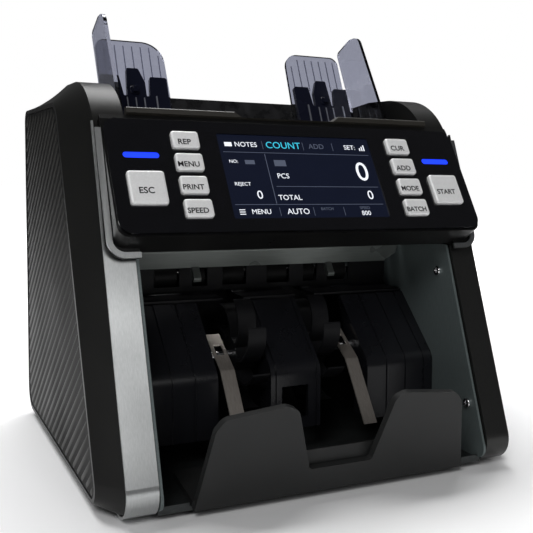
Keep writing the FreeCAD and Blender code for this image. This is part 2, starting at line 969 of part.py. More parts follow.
def key_cap(key):
    body = new_body(f"key_{key}")
    x, up, half, half_high = key_place(key)
    cap = key_outline(key, 0)
    prism(body, "front", -2.2, s.key_proud, [cap], console)
    top_y, top_z = console.point(size(0), s.key_proud)

    def on_top(edge):
        middle = edge.CenterOfMass
        out = (middle.y - top_y.value) * -math.cos(math.radians(s.console_lean.value))
        out += (middle.z - top_z.value) * math.sin(math.radians(s.console_lean.value))
        return abs(out) < 0.01

    round_edges(body, s.key_shoulder, on_top)
    stem = rectangle(x - 2, x + 2, up - 2, up + 2, 0.5)
    prism(body, "front", s.key_travel + 0.3 - s.board_depth, -2.2, [stem], console)
    return node(body)


def band_carrier():
    """The strip of the housing that a metal band lies on."""
    outer = console_half + 0.4 + s.band_width - 0.5
    top = (s.crown_base - 2 - s.bay_ceiling) / cos(s.band_lean)
    return [
        (half_bay + 1, -2.8),
        (outer, -2.8, 8.4),
        (outer, top),
        (console_half - 0.6, top),
        (console_half - 0.6, 4),
        (half_bay + 1, 4),
    ]


def console_bands():
    """The metal bands that run down beside the control head and turn in under it."""
    shapes = []
    top = (s.crown_base - 1 - s.bay_ceiling).value / math.cos(math.radians(s.band_lean.value))
    inner = half_bay.value + 0.5
    outer = console_half.value + 0.4 + s.band_width.value
    width = s.band_width.value
    for side in (-1, 1):
        thick = s.band_thickness.value
        outer_box = Part.makeBox(outer - inner, top + 2, thick)
        corner = [edge for edge in outer_box.Edges if is_upright_at(edge, outer - inner, 0)]
        outer_box = outer_box.makeFillet(9.4, corner)
        inner_box = Part.makeBox(outer - inner - width, top + 2, thick)
        corner = [edge for edge in inner_box.Edges if is_upright_at(edge, outer - inner - width, 0)]
        inner_box = inner_box.makeFillet(6.4, corner)
        inner_box.translate(FreeCAD.Vector(0, width, 0))
        strip = outer_box.cut(inner_box)
        strip.translate(FreeCAD.Vector(inner, -3.2, -thick))
        if side < 0:
            strip = strip.mirror(FreeCAD.Vector(), FreeCAD.Vector(1, 0, 0))
        shapes.append(on_face(strip, band))
    return node(compound("console_bands", shapes))


def is_upright_at(edge, x, y):
    box = edge.BoundBox
    return box.ZLength > 1 and abs(box.XMin - x) < 0.01 and abs(box.YMin - y) < 0.01


# ---------------------------------------------------------------- stacker bay


def stacker_skin(gap=0, thickness=None):
    """The bent outline of a stacker cover, from its top edge to its foot."""
    gap = size(gap)
    skin = size(thickness) if thickness is not None else s.cover_skin
    top = (s.cover_top_y + gap * 0.7, s.cover_top_z - gap * 0.7)
    foot_y = s.nose_y - 1.2
    inner = gap + skin
    return [
        top,
        (s.nose_y + gap, s.nose_z - gap * 0.3, s.nose_round - gap),
        (foot_y + gap, s.cover_bottom),
        (foot_y + inner, s.cover_bottom),
        (s.nose_y + inner, s.nose_z - inner * 0.3, s.nose_round - inner),
        (s.cover_top_y + inner * 0.7, s.cover_top_z - inner * 0.7),
    ]


def stacker_cover(name, low, high, web_places, groove_places):
    body = new_body(f"stacker_cover_{name}")
    outline = stacker_skin()
    prism(body, "side", low, high, [outline])
    web = [
        outline[5],
        outline[4],
        outline[3],
        (s.nose_y + 14, s.cover_bottom),
        (s.nose_y + 14, s.nose_z - 12, 8),
        (s.cover_top_y - 4, s.cover_top_z - 16),
    ]
    for web_low in web_places:
        prism(body, "side", web_low, web_low + 1.8, [web])
    groove = stacker_skin(thickness=s.groove_depth)
    for middle in groove_places:
        half = s.groove_width / 2
        recess(body, "side", middle - half, middle + half, [groove])
    return node(body)


def stacker_covers():
    inner = s.side_stacker_inner
    outer = half_bay - 0.3
    first = inner + s.groove_pitch
    for name, side in SIDES.items():
        low, high = span(side, inner, outer)
        web_low = span(side, inner, inner + 1.8)[0]
        grooves = [side * (first + step * s.groove_pitch) for step in range(3)]
        stacker_cover(name, low, high, [web_low], grooves)
    half = s.centre_stacker_half
    body = stacker_cover("centre", -half, half, [-half, half - 1.8], [-half + 3, half - 3])
    window = rectangle(-9, 8, s.cover_bottom + 6, s.nose_z - 10, 0.6)
    foot_y = s.nose_y - 1.2
    recess(body, "front", -foot_y - s.cover_skin - 2, -foot_y + 2, [window])


def note_slides():
    """Two bright sheet strips beside the stacker wheels, each one solid."""
    shapes = []
    path = [
        (s.cover_top_y.value - 6, s.cover_top_z.value - 18),
        (s.nose_y.value + 6, s.nose_z.value + 1.5),
        (s.nose_y.value - 17.5, s.cover_bottom.value + 3),
    ]
    thickness = s.slide_thickness.value
    for side in (-1, 1):
        near = side * s.slide_inner.value
        points = [FreeCAD.Vector(0, y, z) for y, z in path]
        back = [point + FreeCAD.Vector(0, thickness, -0.4) for point in reversed(points)]
        wire = Part.makePolygon(points + back + points[:1])
        strip = Part.Face(wire).extrude(FreeCAD.Vector(side * s.slide_width.value, 0, 0))
        strip.translate(FreeCAD.Vector(near, 0, 0))
        bends = [edge for edge in strip.Edges if is_bend(edge, path[1])]
        strip = strip.makeFillet(4, bends[:1])
        hole_x = near + side * s.slide_width.value / 2
        hole = Part.makeBox(4.6, 7, 30, FreeCAD.Vector(hole_x - 2.3, path[0][0] - 14, path[1][1]))
        shapes.append(strip.cut(hole))
    return node(compound("note_slides", shapes))


def is_bend(edge, place):
    middle = edge.CenterOfMass
    near = math.hypot(middle.y - place[0], middle.z - place[1]) < 0.05
    return near and edge.BoundBox.XLength > 5


def stacker_tray():
    body = new_body("stacker_tray")
    floor = [
        (-s.tray_foot, tray_front.y + 2),
        (s.tray_foot, tray_front.y + 2),
        (s.tray_foot - 4, s.nose_y - 6, 3),
        (4 - s.tray_foot, s.nose_y - 6, 3),
    ]
    prism(body, "top", pan_top, pan_top + 3, [floor])
    half = [
        (s.notch_half, s.notch_height, 2.5),
        (s.horn_inner - 5.5, s.horn_height - 2.5, 6),
        (s.horn_inner + 1, s.horn_height + 0.3, 6),
        (s.horn_outer - 3.5, s.horn_height - 3.2, 7),
        (s.horn_outer + 0.8, s.horn_height - 9, 5),
        (s.tray_foot, 0),
    ]
    other = [(-corner[0],) + corner[1:] for corner in reversed(half)]
    prism(body, "front", -s.tray_thickness, 0, [half + other], tray_front)
    back = -tray_front.y - s.tray_thickness
    step = rectangle(-s.horn_inner, s.horn_inner, pan_top, pan_top + s.step_height, 1)
    prism(body, "front", back - 0.4, back + 1.2, [step])
    return node(body)


def bay_panel():
    """The dark moulding at the back of the bay: a wall, a shelf and the rollers' screen."""
    body = new_body("bay_panel")
    half = half_bay - 0.5
    wall_y = s.exit_y + 0.2
    shelf_z = s.cover_top_z + 0.5
    screen_y = s.exit_y - s.exit_roller_radius - 1.6
    outline = [
        (wall_y, pan_top + 0.2),
        (wall_y + 1.6, pan_top + 0.2),
        (wall_y + 1.6, shelf_z + 1.6),
        (screen_y + 1.4, shelf_z + 1.6),
        (screen_y + 1.4, s.crossbar_z - 3),
        (screen_y, s.crossbar_z - 3),
        (screen_y, shelf_z + 1.6, 3),
        (s.cover_top_y + 1.5, shelf_z + 1.2),
        (s.cover_top_y + 1.5, shelf_z),
        (wall_y, shelf_z),
    ]
    prism(body, "side", -half, half, [outline])
    low_z, high_z = s.exit_z - 6, s.exit_z + 7
    wheel_half = s.stacker_wheel_width / 2 + 1
    for side in (-1, 1):
        windows = []
        for near, far in EXIT_ROLLERS:
            low, high = span(side, near - 1, far + 1)
            windows.append(rectangle(low, high, low_z, high_z, 0.8))
        recess(body, "front", -screen_y - 3, -screen_y + 1, windows)
        low, high = span(side, s.stacker_wheel_across - wheel_half, s.stacker_wheel_across + wheel_half)
        notch = rectangle(low, high, s.cover_top_y - 1, s.exit_y - 2)
        recess(body, "top", shelf_z - 1, shelf_z + 3, [notch])
    return node(body)


EXIT_ROLLERS = [(8, 22), (34, 42), (52, 66)]


def exit_crossbar():
    body = new_body("exit_crossbar")
    reach = half_bay - 0.4
    sheet_y, sheet_z = s.crossbar_y, s.crossbar_z
    low_z = sheet_z - s.crossbar_height
    thick = s.crossbar_sheet
    outline = [
        (sheet_y, sheet_z, 1.5),
        (sheet_y + 3.5, low_z),
        (sheet_y + 3.5 + thick, low_z),
        (sheet_y + thick, sheet_z - thick, 0.4),
        (sheet_y + 12, sheet_z + 1 - thick),
        (sheet_y + 12, sheet_z + 1),
    ]
    prism(body, "side", -reach, reach, [outline])
    for side in (-1, 1):
        low, high = span(side, reach - 7, reach + 1)
        corner = [(low, low_z - 1), (high, low_z - 1), (high, low_z + 6), (low, low_z + 1)]
        if side < 0:
            corner = [(low, low_z - 1), (high, low_z - 1), (high, low_z + 1), (low, low_z + 6)]
        recess(body, "front", -sheet_y - 6, -sheet_y + 2, [corner])
    hook = [
        (sheet_y + 3.5, low_z + 1),
        (sheet_y - 1.5, low_z - 6, 1.5),
        (sheet_y - 0.5, low_z - 8),
        (sheet_y + 3, low_z - 6.5, 1.5),
        (sheet_y + 3.5 + thick, low_z),
    ]
    for side in (-1, 1):
        middle = side * s.finger_across
        half = s.finger_width / 2
        prism(body, "side", middle - half, middle + half, [hook])
    return node(body)


# ---------------------------------------------------------------- hopper and note guides


def hopper_floor():
    """The leaning wall that the notes lie against, with slots for the two guides."""
    body = new_body("hopper_floor")
    half = crown_inner - 0.5
    outline = rectangle(-half, half, -s.hopper_length, 0)
    slots = []
    for side in (-1, 1):
        up = slot_line(side)
        low, high = span(side, 14, guide_inner + 30)
        slots.append(rectangle(low, high, up - 1.8, up + 1.8, 1.5))
    prism(body, "front", -s.hopper_wall, 0, [outline] + slots, hopper)
    boss = circle(0, -s.gear_drop, 2)
    prism(body, "front", -s.hopper_wall - s.rack_thickness - 1.5, -s.hopper_wall, [boss], hopper)
    return node(body)


guide_outer = crown_inner - s.guide_wall_gap / 2
guide_inner = guide_outer - s.guide_width
carriage_outer = guide_outer - s.guide_thickness - 0.8
carriage_inner = carriage_outer - s.carriage_width
lug_inner = carriage_inner + 8
lug_outer = carriage_inner + 20
gear_radius = s.gear_module * s.gear_teeth / 2


def rack_line(side):
    """How far up the hopper floor the pitch line of a guide's rack is."""
    return -s.gear_drop - side * gear_radius


def slot_line(side):
    """How far up the hopper floor the slot for a guide's lug is, in line with its rack."""
    return rack_line(side) - side * (s.gear_module * 0.9 + s.rack_height / 2)


def hopper_front_wall():
    body = new_body("hopper_front_wall")
    half = crown_inner - 0.5
    top_y, top_z = console.point(s.console_up + 4, -s.glass_thickness - 0.5)
    back = console.y + s.console_depth - 10
    slope = (back - top_y) / (top_z - s.bay_ceiling - 35.5)
    low_z = s.bay_ceiling + 36.5
    low_y = top_y + (top_z - low_z) * slope
    outline = [
        (top_y + 0.9, top_z),
        (top_y - 0.6, top_z + 1.5),
        (top_y + 0.2, s.lip_height, 1.2),
        (top_y + 3.8, s.lip_height, 1.2),
        (low_y + 3.3, low_z),
        (low_y + 0.9, low_z),
    ]
    prism(body, "side", -half, half, [outline])
    notch_low = s.lip_height - s.lip_step
    notch = [
        (-s.lip_notch, notch_low),
        (s.lip_notch, notch_low),
        (s.lip_notch + 6, s.lip_height + 1),
        (-s.lip_notch - 6, s.lip_height + 1),
    ]
    recess(body, "front", -top_y - 8, -top_y + 4, [notch])
    return node(body)


def rear_deck():
    """The top behind the hopper, bent down at the rear to meet the door."""
    body = new_body("rear_deck")
    half = crown_inner - 0.4
    rim_z = s.crown_height - s.rim_drop
    rear_z = crown_rear - 1
    skin = s.cover_wall
    outline = [
        (s.rim_y + 3.2, rim_z, 1),
        (s.rear_reach, rear_z, 14),
        (s.rear_reach, s.door_top + s.door_gap),
        (s.rear_reach - skin, s.door_top + s.door_gap),
        (s.rear_reach - skin, rear_z - skin, 11.5),
        (s.rim_y + 3.2 + skin, rim_z - skin, 0.5),
        (s.rim_y + 3.2 + skin, rim_z - 5),
        (s.rim_y + 3.2, rim_z - 5),
    ]
    prism(body, "side", -half, half, [outline])
    return node(body)


def note_guide(name, side):
    """A clear L-shaped plate: a back that lies along the hopper floor and a side wall."""
    body = new_body(f"{name}_note_guide")
    inner_round = 14 if side < 0 else 10
    back = [
        (guide_inner, -s.guide_drop),
        (guide_outer - 3.4, -s.guide_drop),
        (guide_outer - 3.4, s.guide_height - 4, 4),
        (guide_outer - 6.5, s.guide_height, 5),
        (guide_inner + 2, s.guide_height, inner_round),
    ]
    near = s.guide_gap
    far = near + s.guide_thickness
    prism(body, "front", near, far, [mirrored(back, side)], hopper)
    recess(body, "front", near - 1, far + 1, [lug_outline(side, 0.2)], hopper)
    foot = rectangle(guide_outer - 4, guide_outer - 1, -s.guide_drop, -6)
    prism(body, "front", near, far, [mirrored(foot, side)], hopper)
    wall = [
        hopper.point(-s.guide_drop, near),
        hopper.point(-s.guide_drop, s.guide_foot_reach),
        hopper.point(s.guide_side_height - 4, s.guide_side_reach - 3) + (9,),
        hopper.point(s.guide_side_height, s.guide_side_reach - 13) + (6,),
        hopper.point(s.guide_side_height, near + 2) + (3,),
        hopper.point(size(5), near + 4),
        hopper.point(size(-6), near + 4),
        hopper.point(size(-6), near),
    ]
    low, high = span(side, guide_outer - s.guide_thickness, guide_outer)
    prism(body, "side", low, high, [wall])
    return node(body)


def lug_outline(side, gap):
    """The lug that joins a carriage to its rack through the hopper floor."""
    slot = slot_line(side)
    edges = (lug_inner - gap, lug_outer + gap, slot - 1.3 - gap, slot + 1.3 + gap)
    return mirrored(rectangle(*edges, 0.5), side)


def rack_tooth_outline(start, count, base, tip):
    """The toothed edge of a rack from the x start, as corners along it."""
    pitch = s.gear_module * math.pi
    corners = []
    for tooth in range(count):
        x = start + tooth * pitch
        corners.append((x + pitch * 0.04, base))
        corners.append((x + pitch * 0.18, tip))
        corners.append((x + pitch * 0.42, tip))
        corners.append((x + pitch * 0.56, base))
    return corners


def guide_carriage(name, side):
    """The black slide of a guide: a plate with two tabs and a clip, and its rack."""
    body = new_body(f"{name}_guide_carriage")
    near = s.guide_gap + s.guide_thickness
    far = near + s.carriage_thickness
    outer, inner = carriage_outer, carriage_inner
    root = -3
    plate = [
        (inner, -s.carriage_drop),
        (outer, -s.carriage_drop),
        (outer, s.tab_height, 1),
        (outer - 10, s.tab_height, 1),
        (outer - 12, root, 1),
        (outer - 14, root, 1),
        (outer - 15.5, s.clip_height, 1),
        (outer - 23, s.clip_height, 1),
        (outer - 26.5, root + 10),
        (outer - 26.5, root, 1),
        (outer - 28.5, root, 1),
        (outer - 30, s.tab_height, 1),
        (inner, s.tab_height, 1.5),
    ]
    prism(body, "front", near, far, [mirrored(plate, side)], hopper)
    up = rack_line(side)
    behind = -s.hopper_wall - 0.4
    prism(body, "front", behind, near, [lug_outline(side, 0)], hopper)
    tip = up + side * s.gear_module * 0.7
    base = up - side * s.gear_module * 0.9
    far_edge = base - side * s.rack_height
    teeth = rack_tooth_outline(rack_start(side), 17, base, tip)
    low_x, high_x = teeth[0][0] - s.gear_module, teeth[-1][0] + s.gear_module
    if side < 0:
        low_x = -lug_outer
    else:
        high_x = lug_outer
    bar = [(low_x, far_edge), (low_x, base)] + teeth + [(high_x, base), (high_x, far_edge)]
    prism(body, "front", behind - s.rack_thickness, behind, [bar], hopper)
    return node(body)


def rack_start(side):
    """The x of the first tooth: a gap of the rack faces a tooth of the pinion at x = 0."""
    pitch = s.gear_module * math.pi
    if side < 0:
        return -14.8 * pitch
    return -1.8 * pitch


def guide_pinion():
    """The gear that both racks mesh with, so the guides stay centred."""
    teeth = int(s.gear_teeth.value)
    pitch_radius = gear_radius.value
    module = s.gear_module.value
    root, tip = pitch_radius - 0.95 * module, pitch_radius + 0.65 * module
    corners = []
    for tooth in range(teeth):
        middle = math.radians(90 + 360 * tooth / teeth)
        for radius, share in ((root, -0.30), (tip, -0.11), (tip, 0.11), (root, 0.30)):
            angle = middle + share * 2 * math.pi / teeth
            corners.append(FreeCAD.Vector(radius * math.cos(angle), radius * math.sin(angle), 0))
    outline = Part.Face(Part.makePolygon(corners + corners[:1]))
    gear = outline.extrude(FreeCAD.Vector(0, 0, s.rack_thickness.value - 0.4))
    bore = Part.makeCylinder(2 + s.running_gap.value, 10, FreeCAD.Vector(0, 0, -2))
    gear = gear.cut(bore)
    behind = -s.hopper_wall.value - 0.2 - s.rack_thickness.value
    gear.translate(FreeCAD.Vector(0, -s.gear_drop.value, behind))
    return node(compound("guide_pinion", [on_face(gear, hopper)]))


# ---------------------------------------------------------------- transport

RIGHT_BELTS = {"motor": 0, "feed": 0, "stacker": 1}
LEFT_BELTS = {"pickup": 0, "exit": 1}


def belt_plane(side, order):
    """The low and high x of a belt: order 0 runs next to the frame plate, 1 outside it."""
    near = plate_outer + s.pulley_inset + order * (s.pulley_width + 2)
    return span(side, near, near + s.pulley_width)


def shaft(name, pulleys, rollers):
    """A steel shaft with its belt pulleys, and its rollers as a node of like solids."""
    y, z = shaft_places[name]
    body = new_body(f"{name}_shaft")
    ends = {side: plate_outer + 1 for side in (-1, 1)}
    for side, order in pulleys:
        ends[side] = plate_outer + s.pulley_inset + (order + 1) * (s.pulley_width + 2)
    prism(body, "side", -ends[-1], ends[1], [circle(y, z, s.shaft_radius)])
    for side, order in pulleys:
        low, high = belt_plane(side, order)
        prism(body, "side", low, high, [circle(y, z, s.pulley_radius)])
    node(body)
    shapes = []
    for low, high, radius in rollers:
        start = FreeCAD.Vector(low, y.value, z.value)
        along = FreeCAD.Vector(1, 0, 0)
        tube = Part.makeCylinder(radius, high - low, start, along)
        shapes.append(tube.cut(Part.makeCylinder(s.shaft_radius.value, high - low, start, along)))
    if shapes:
        node(compound(f"{name}_rollers", shapes))


def paired(near, far, radius):
    return [(-far, -near, radius), (near, far, radius)]


def transport():
    shaft("pickup", [(-1, 0)], paired(14, 30, s.pickup_roller_radius.value))
    feed_radius = s.feed_roller_radius.value
    shaft("feed", [(1, 0), (1, 1), (-1, 0), (-1, 1)], paired(10, 40, feed_radius))
    exit_radius = s.exit_roller_radius.value
    rollers = []
    for near, far in EXIT_ROLLERS:
        rollers += paired(near, far, exit_radius)
    shaft("exit", [(-1, 1)], rollers)
    shaft("stacker", [(1, 1)], [])
    stacker_wheels()


def stacker_wheels():
    """Two wheels whose bent blades catch the falling notes and lay them in the tray."""
    hub_radius = s.stacker_hub_radius.value
    wheel_radius = s.stacker_wheel_radius.value
    width = s.stacker_wheel_width.value
    thickness = s.blade_thickness.value
    shapes = []
    for side in (-1, 1):
        middle = side * s.stacker_wheel_across.value
        along = FreeCAD.Vector(1, 0, 0)
        start = FreeCAD.Vector(middle - width / 2, 0, 0)
        wheel = Part.makeCylinder(hub_radius, width, start, along)
        for number in range(int(s.stacker_blades.value)):
            blade = stacker_blade(hub_radius - 1, wheel_radius, thickness, width)
            blade.translate(FreeCAD.Vector(middle - width / 2, 0, 0))
            turn = 360 * number / int(s.stacker_blades.value)
            blade.rotate(FreeCAD.Vector(), along, turn)
            wheel = wheel.fuse(blade)
        wheel = wheel.cut(Part.makeCylinder(s.shaft_radius.value, width, start, along))
        wheel.translate(FreeCAD.Vector(0, s.stacker_y.value, s.stacker_z.value))
        shapes.append(wheel.removeSplitter())
    return node(compound("stacker_wheels", shapes))


def stacker_blade(inner, outer, thickness, width):
    """One blade: it leaves the hub square and bends back to the rim."""
    bend = math.radians(38)
    mid = (inner + outer) / 2

    def at(radius, angle):
        return FreeCAD.Vector(0, -radius * math.cos(angle), radius * math.sin(angle))

    front = Part.Arc(at(inner, 0), at(mid, bend * 0.3), at(outer, bend)).toShape()
    slim = thickness * 0.45
    back_inner = at(inner, -thickness / inner)
    back_mid = at(mid, bend * 0.3 - thickness * 0.8 / mid)
    back_outer = at(outer, bend - slim / outer)
    back = Part.Arc(back_outer, back_mid, back_inner).toShape()
    tip = Part.makeLine(at(outer, bend), back_outer)
    root = Part.makeLine(back_inner, at(inner, 0))
    face = Part.Face(Part.Wire([front, tip, back, root]))
    return face.extrude(FreeCAD.Vector(width, 0, 0))


def drive_motor():
    body = new_body("drive_motor")
    can = circle(*motor_place, s.motor_radius)
    far = half_bay - 0.5
    prism(body, "side", far - s.motor_length, far, [can])
    hole = circle(*motor_place, s.shaft_radius + s.running_gap)
    recess(body, "side", far - 14, far + 1, [hole])
    saddle = rectangle(s.motor_y - 14, s.motor_y + 14, pan_top, s.motor_z - 10)
    prism(body, "side", far - s.motor_length + 6, far - 6, [saddle])
    return node(body)


def motor_pulley():
    body = new_body("motor_pulley")
    low, high = belt_plane(1, 0)
    prism(body, "side", half_bay - 13, high + 1, [circle(*motor_place, s.shaft_radius)])
    prism(body, "side", low, high, [circle(*motor_place, s.pulley_radius)])
    return node(body)


def belt(first, second, side, order):
    """A closed belt round two like pulleys."""
    first_y, first_z = first
    second_y, second_z = second
    inner = s.pulley_radius.value + s.belt_gap.value
    outer = inner + s.belt_thickness.value
    low, high = belt_plane(side, order)
    low, high = low.value + 0.4, high.value - 0.4
    run_y = second_y.value - first_y.value
    run_z = second_z.value - first_z.value
    length = math.hypot(run_y, run_z)
    across = FreeCAD.Vector(1, 0, 0)

    def loop(radius, x_low, x_high):
        solid = Part.makeBox(x_high - x_low, length, 2 * radius)
        solid.translate(FreeCAD.Vector(x_low, 0, -radius))
        for y in (0, length):
            start = FreeCAD.Vector(x_low, y, 0)
            solid = solid.fuse(Part.makeCylinder(radius, x_high - x_low, start, across))
        return solid.removeSplitter()

    ring = loop(outer, low, high).cut(loop(inner, low - 1, high + 1))
    ring.rotate(FreeCAD.Vector(), across, math.degrees(math.atan2(run_z, run_y)))
    ring.translate(FreeCAD.Vector(0, first_y.value, first_z.value))
    return ring


def drive_belts():
    feed = shaft_places["feed"]
    shapes = [
        belt(motor_place, feed, 1, 0),
        belt(feed, shaft_places["stacker"], 1, 1),
        belt(feed, shaft_places["pickup"], -1, 0),
        belt(feed, shaft_places["exit"], -1, 1),
    ]
    return node(compound("drive_belts", shapes))


# ---------------------------------------------------------------- sensors and electrics


def sensor_bars():
    """Two like scanning bars, above and below the note path."""
    shapes = []
    length = s.bay_width.value - 6
    for z in (112, 138):
        bar = Part.makeBox(length, 14, 14)
        bar.translate(FreeCAD.Vector(-length / 2, 46, z))
        long_edges = [edge for edge in bar.Edges if edge.BoundBox.XLength > 20]
        shapes.append(bar.makeFillet(1.2, long_edges))
    return node(compound("sensor_bars", shapes))


def main_board():
    body = new_body("main_board")
    half = half_bay - 22
    outline = rectangle(-half, half, pan_top + 4, s.rear_panel_top - 6, 2)
    prism(body, "front", -90, -88.4, [outline])
    for x, z, wide, tall, deep in ((-50, 40, 22, 22, 3), (-8, 30, 14, 14, 3), (10, 52, 40, 8, 9)):
        chip = rectangle(x - wide / 2, x + wide / 2, z - tall / 2, z + tall / 2)
        prism(body, "front", -88.4, deep - 88.4, [chip])
    return node(body)


def power_supply():
    body = new_body("power_supply")
    edges = rectangle(-half_bay + 6, 12, 30, 78, 2)
    prism(body, "top", pan_top, 44, [edges])
    return node(body)


def rear_panel():
    body = new_body("rear_panel")
    half = half_bay - 0.3
    outline = rectangle(-half, half, pan_top, s.rear_panel_top)
    holes = [
        socket_outline(0.1),
        rectangle(*rocker_edges(0.8)),
    ]
    prism(body, "front", -s.rear_reach + 0.5, -rear_inner + 0.5, [outline] + holes)
    for row in range(4):
        z = 20 + row * 9
        slots = [rectangle(x, x + 30, z, z + 3, 1.2) for x in (-82, -46)]
        recess(body, "front", -s.rear_reach - 1, -rear_inner + 2, slots)
    return node(body)


def socket_outline(gap):
    half = s.inlet_width / 2 + gap
    half_high = s.inlet_height / 2 + gap
    x, z = s.inlet_x, s.inlet_z
    return [
        (x - half, z - half_high, 2),
        (x + half, z - half_high, 2),
        (x + half, z + half_high - 5),
        (x + half - 5, z + half_high),
        (x - half + 5, z + half_high),
        (x - half, z + half_high - 5),
    ]


def power_inlet():
    """The appliance inlet: a shell with a hollow mouth and three flat pins."""
    body = new_body("power_inlet")
    x, z = s.inlet_x, s.inlet_z
    face = -s.rear_reach + 0.5
    prism(body, "front", face, face + 22, [socket_outline(0)])
    recess(body, "front", face - 1, face + 17, [socket_outline(-2.4)])
    for pin_x, pin_z in ((-7, -2), (7, -2), (0, 2.5)):
        pin = rectangle(x + pin_x - 1, x + pin_x + 1, z + pin_z - 2.2, z + pin_z + 2.2)
        prism(body, "front", face + 6, face + 18, [pin])
    return node(body)


def rocker_edges(gap):
    half = s.rocker_width / 2 + gap
    half_high = s.rocker_height / 2 + gap
    x, z = s.rocker_x, s.inlet_z
    return (x - half, x + half, z - half_high, z + half_high)


def power_rocker():
    """The rocker, pressed in at its upper end."""
    body = new_body("power_rocker")
    half = s.rocker_height / 2 - 1.2
    y = s.rear_reach - 2.2
    z = s.inlet_z
    lift = half * tan(s.rocker_swing)
    outline = [
        (y - 6, z - half + 1.5, 1),
        (y - 6, z + half - 1.5, 1),
        (y - 0.4, z + half - 0.4, 0.5),
        (y + 0.6, z),
        (y + 0.6 + lift, z - half + 0.6, 0.8),
    ]
    low, high = s.rocker_x - s.rocker_width / 2 + 0.6, s.rocker_x + s.rocker_width / 2 - 0.6
    prism(body, "side", low, high, [outline])
    pivot = circle(y - 3, z, 1.5)
    prism(body, "side", low - 0.5, high + 0.5, [pivot])
    return node(body)


def rear_door():
    body = new_body("rear_door")
    half = half_bay - 0.5
    face = s.rear_reach - 0.5
    outline = rectangle(-half, half, door_pivot_z, s.door_top)
    prism(body, "front", -face, -face + s.rear_thickness, [outline])
    barrel = circle(door_pivot_y, door_pivot_z, s.door_pin_radius + 0.5)
    prism(body, "side", -half, half, [barrel])
    pin = circle(door_pivot_y, door_pivot_z, s.door_pin_radius)
    reach = half_bay + s.plate_thickness
    prism(body, "side", -reach, reach, [pin])
    grip = rectangle(-22, 22, s.door_top - 12, s.door_top - 3, 3)
    recess(body, "front", -face - 1, -face + 1.4, [grip])
    return node(body)


# ---------------------------------------------------------------- build, check and write


def build():
    base_pan()
    rubber_feet()
    for name, side in SIDES.items():
        side_cover(name, side)
        frame_plate(name, side)
        front_trim(name, side)
        note_guide(name, side)
        guide_carriage(name, side)
    side_inserts()
    frame_screws()
    tie_rods()
    console_housing()
    console_glass()
    lcd_module()
    keypad_board()
    status_lights()
    console_bands()
    for key in KEYS:
        key_cap(key)
    stacker_covers()
    note_slides()
    stacker_tray()
    exit_crossbar()
    bay_panel()
    hopper_floor()
    hopper_front_wall()
    rear_deck()
    guide_pinion()
    transport()
    drive_motor()
    motor_pulley()
    drive_belts()
    sensor_bars()
    main_board()
    power_supply()
    rear_panel()
    power_inlet()
    power_rocker()
    rear_door()


def check():
    """Stop if any feature failed, a shape is unusable or a cut took nothing away."""
    faults = []
    for item in doc.Objects:
        if "Invalid" in item.State or "Error" in item.State:
            faults.append(f"{item.Label} failed")
    for item in nodes:
        if item.Shape.isNull() or not item.Shape.isValid() or not item.Shape.Solids:
            faults.append(f"{item.Label} has no valid shape")
    for body, cut in cuts:
        before = cut.BaseFeature
        if cut.Shape.isNull() or before.Shape.Volume - cut.Shape.Volume < 0.01:
            faults.append(f"{cut.Name} in {body.Label} cuts nothing")
    if faults:
        raise RuntimeError("; ".join(faults))


build()
doc.recompute()
check()
os.makedirs("parts", exist_ok=True)
for item in nodes:
    item.Shape.exportStep(f"parts/{item.Label}.step")
print(len(nodes), "nodes written")
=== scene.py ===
import json
import math

import bmesh
import bpy
from mathutils import Matrix, Vector


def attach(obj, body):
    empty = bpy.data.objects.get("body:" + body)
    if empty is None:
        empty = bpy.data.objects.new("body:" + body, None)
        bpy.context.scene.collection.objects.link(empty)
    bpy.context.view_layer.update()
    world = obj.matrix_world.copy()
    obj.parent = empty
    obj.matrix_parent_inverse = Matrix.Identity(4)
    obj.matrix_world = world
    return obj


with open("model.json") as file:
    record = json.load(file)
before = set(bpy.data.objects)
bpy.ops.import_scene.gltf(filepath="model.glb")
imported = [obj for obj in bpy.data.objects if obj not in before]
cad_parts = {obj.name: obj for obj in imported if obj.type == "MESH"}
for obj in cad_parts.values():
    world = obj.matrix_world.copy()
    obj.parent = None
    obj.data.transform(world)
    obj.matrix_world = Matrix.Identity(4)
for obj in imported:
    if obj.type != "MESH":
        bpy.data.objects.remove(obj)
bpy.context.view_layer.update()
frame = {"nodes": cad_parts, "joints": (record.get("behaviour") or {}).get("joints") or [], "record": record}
nodes = frame["nodes"]
joints = {joint["name"]: joint for joint in frame["joints"]}
scene = bpy.context.scene


# ------------------------------------------------------------------ materials

# Nearly all of a noise texture's values lie between these two.
NOISE_LOW = 0.3
NOISE_HIGH = 0.7
GRAIN_SCALE = 2600
GRAIN_DEPTH = 0.00006
BRUSH_DEPTH = 0.00003

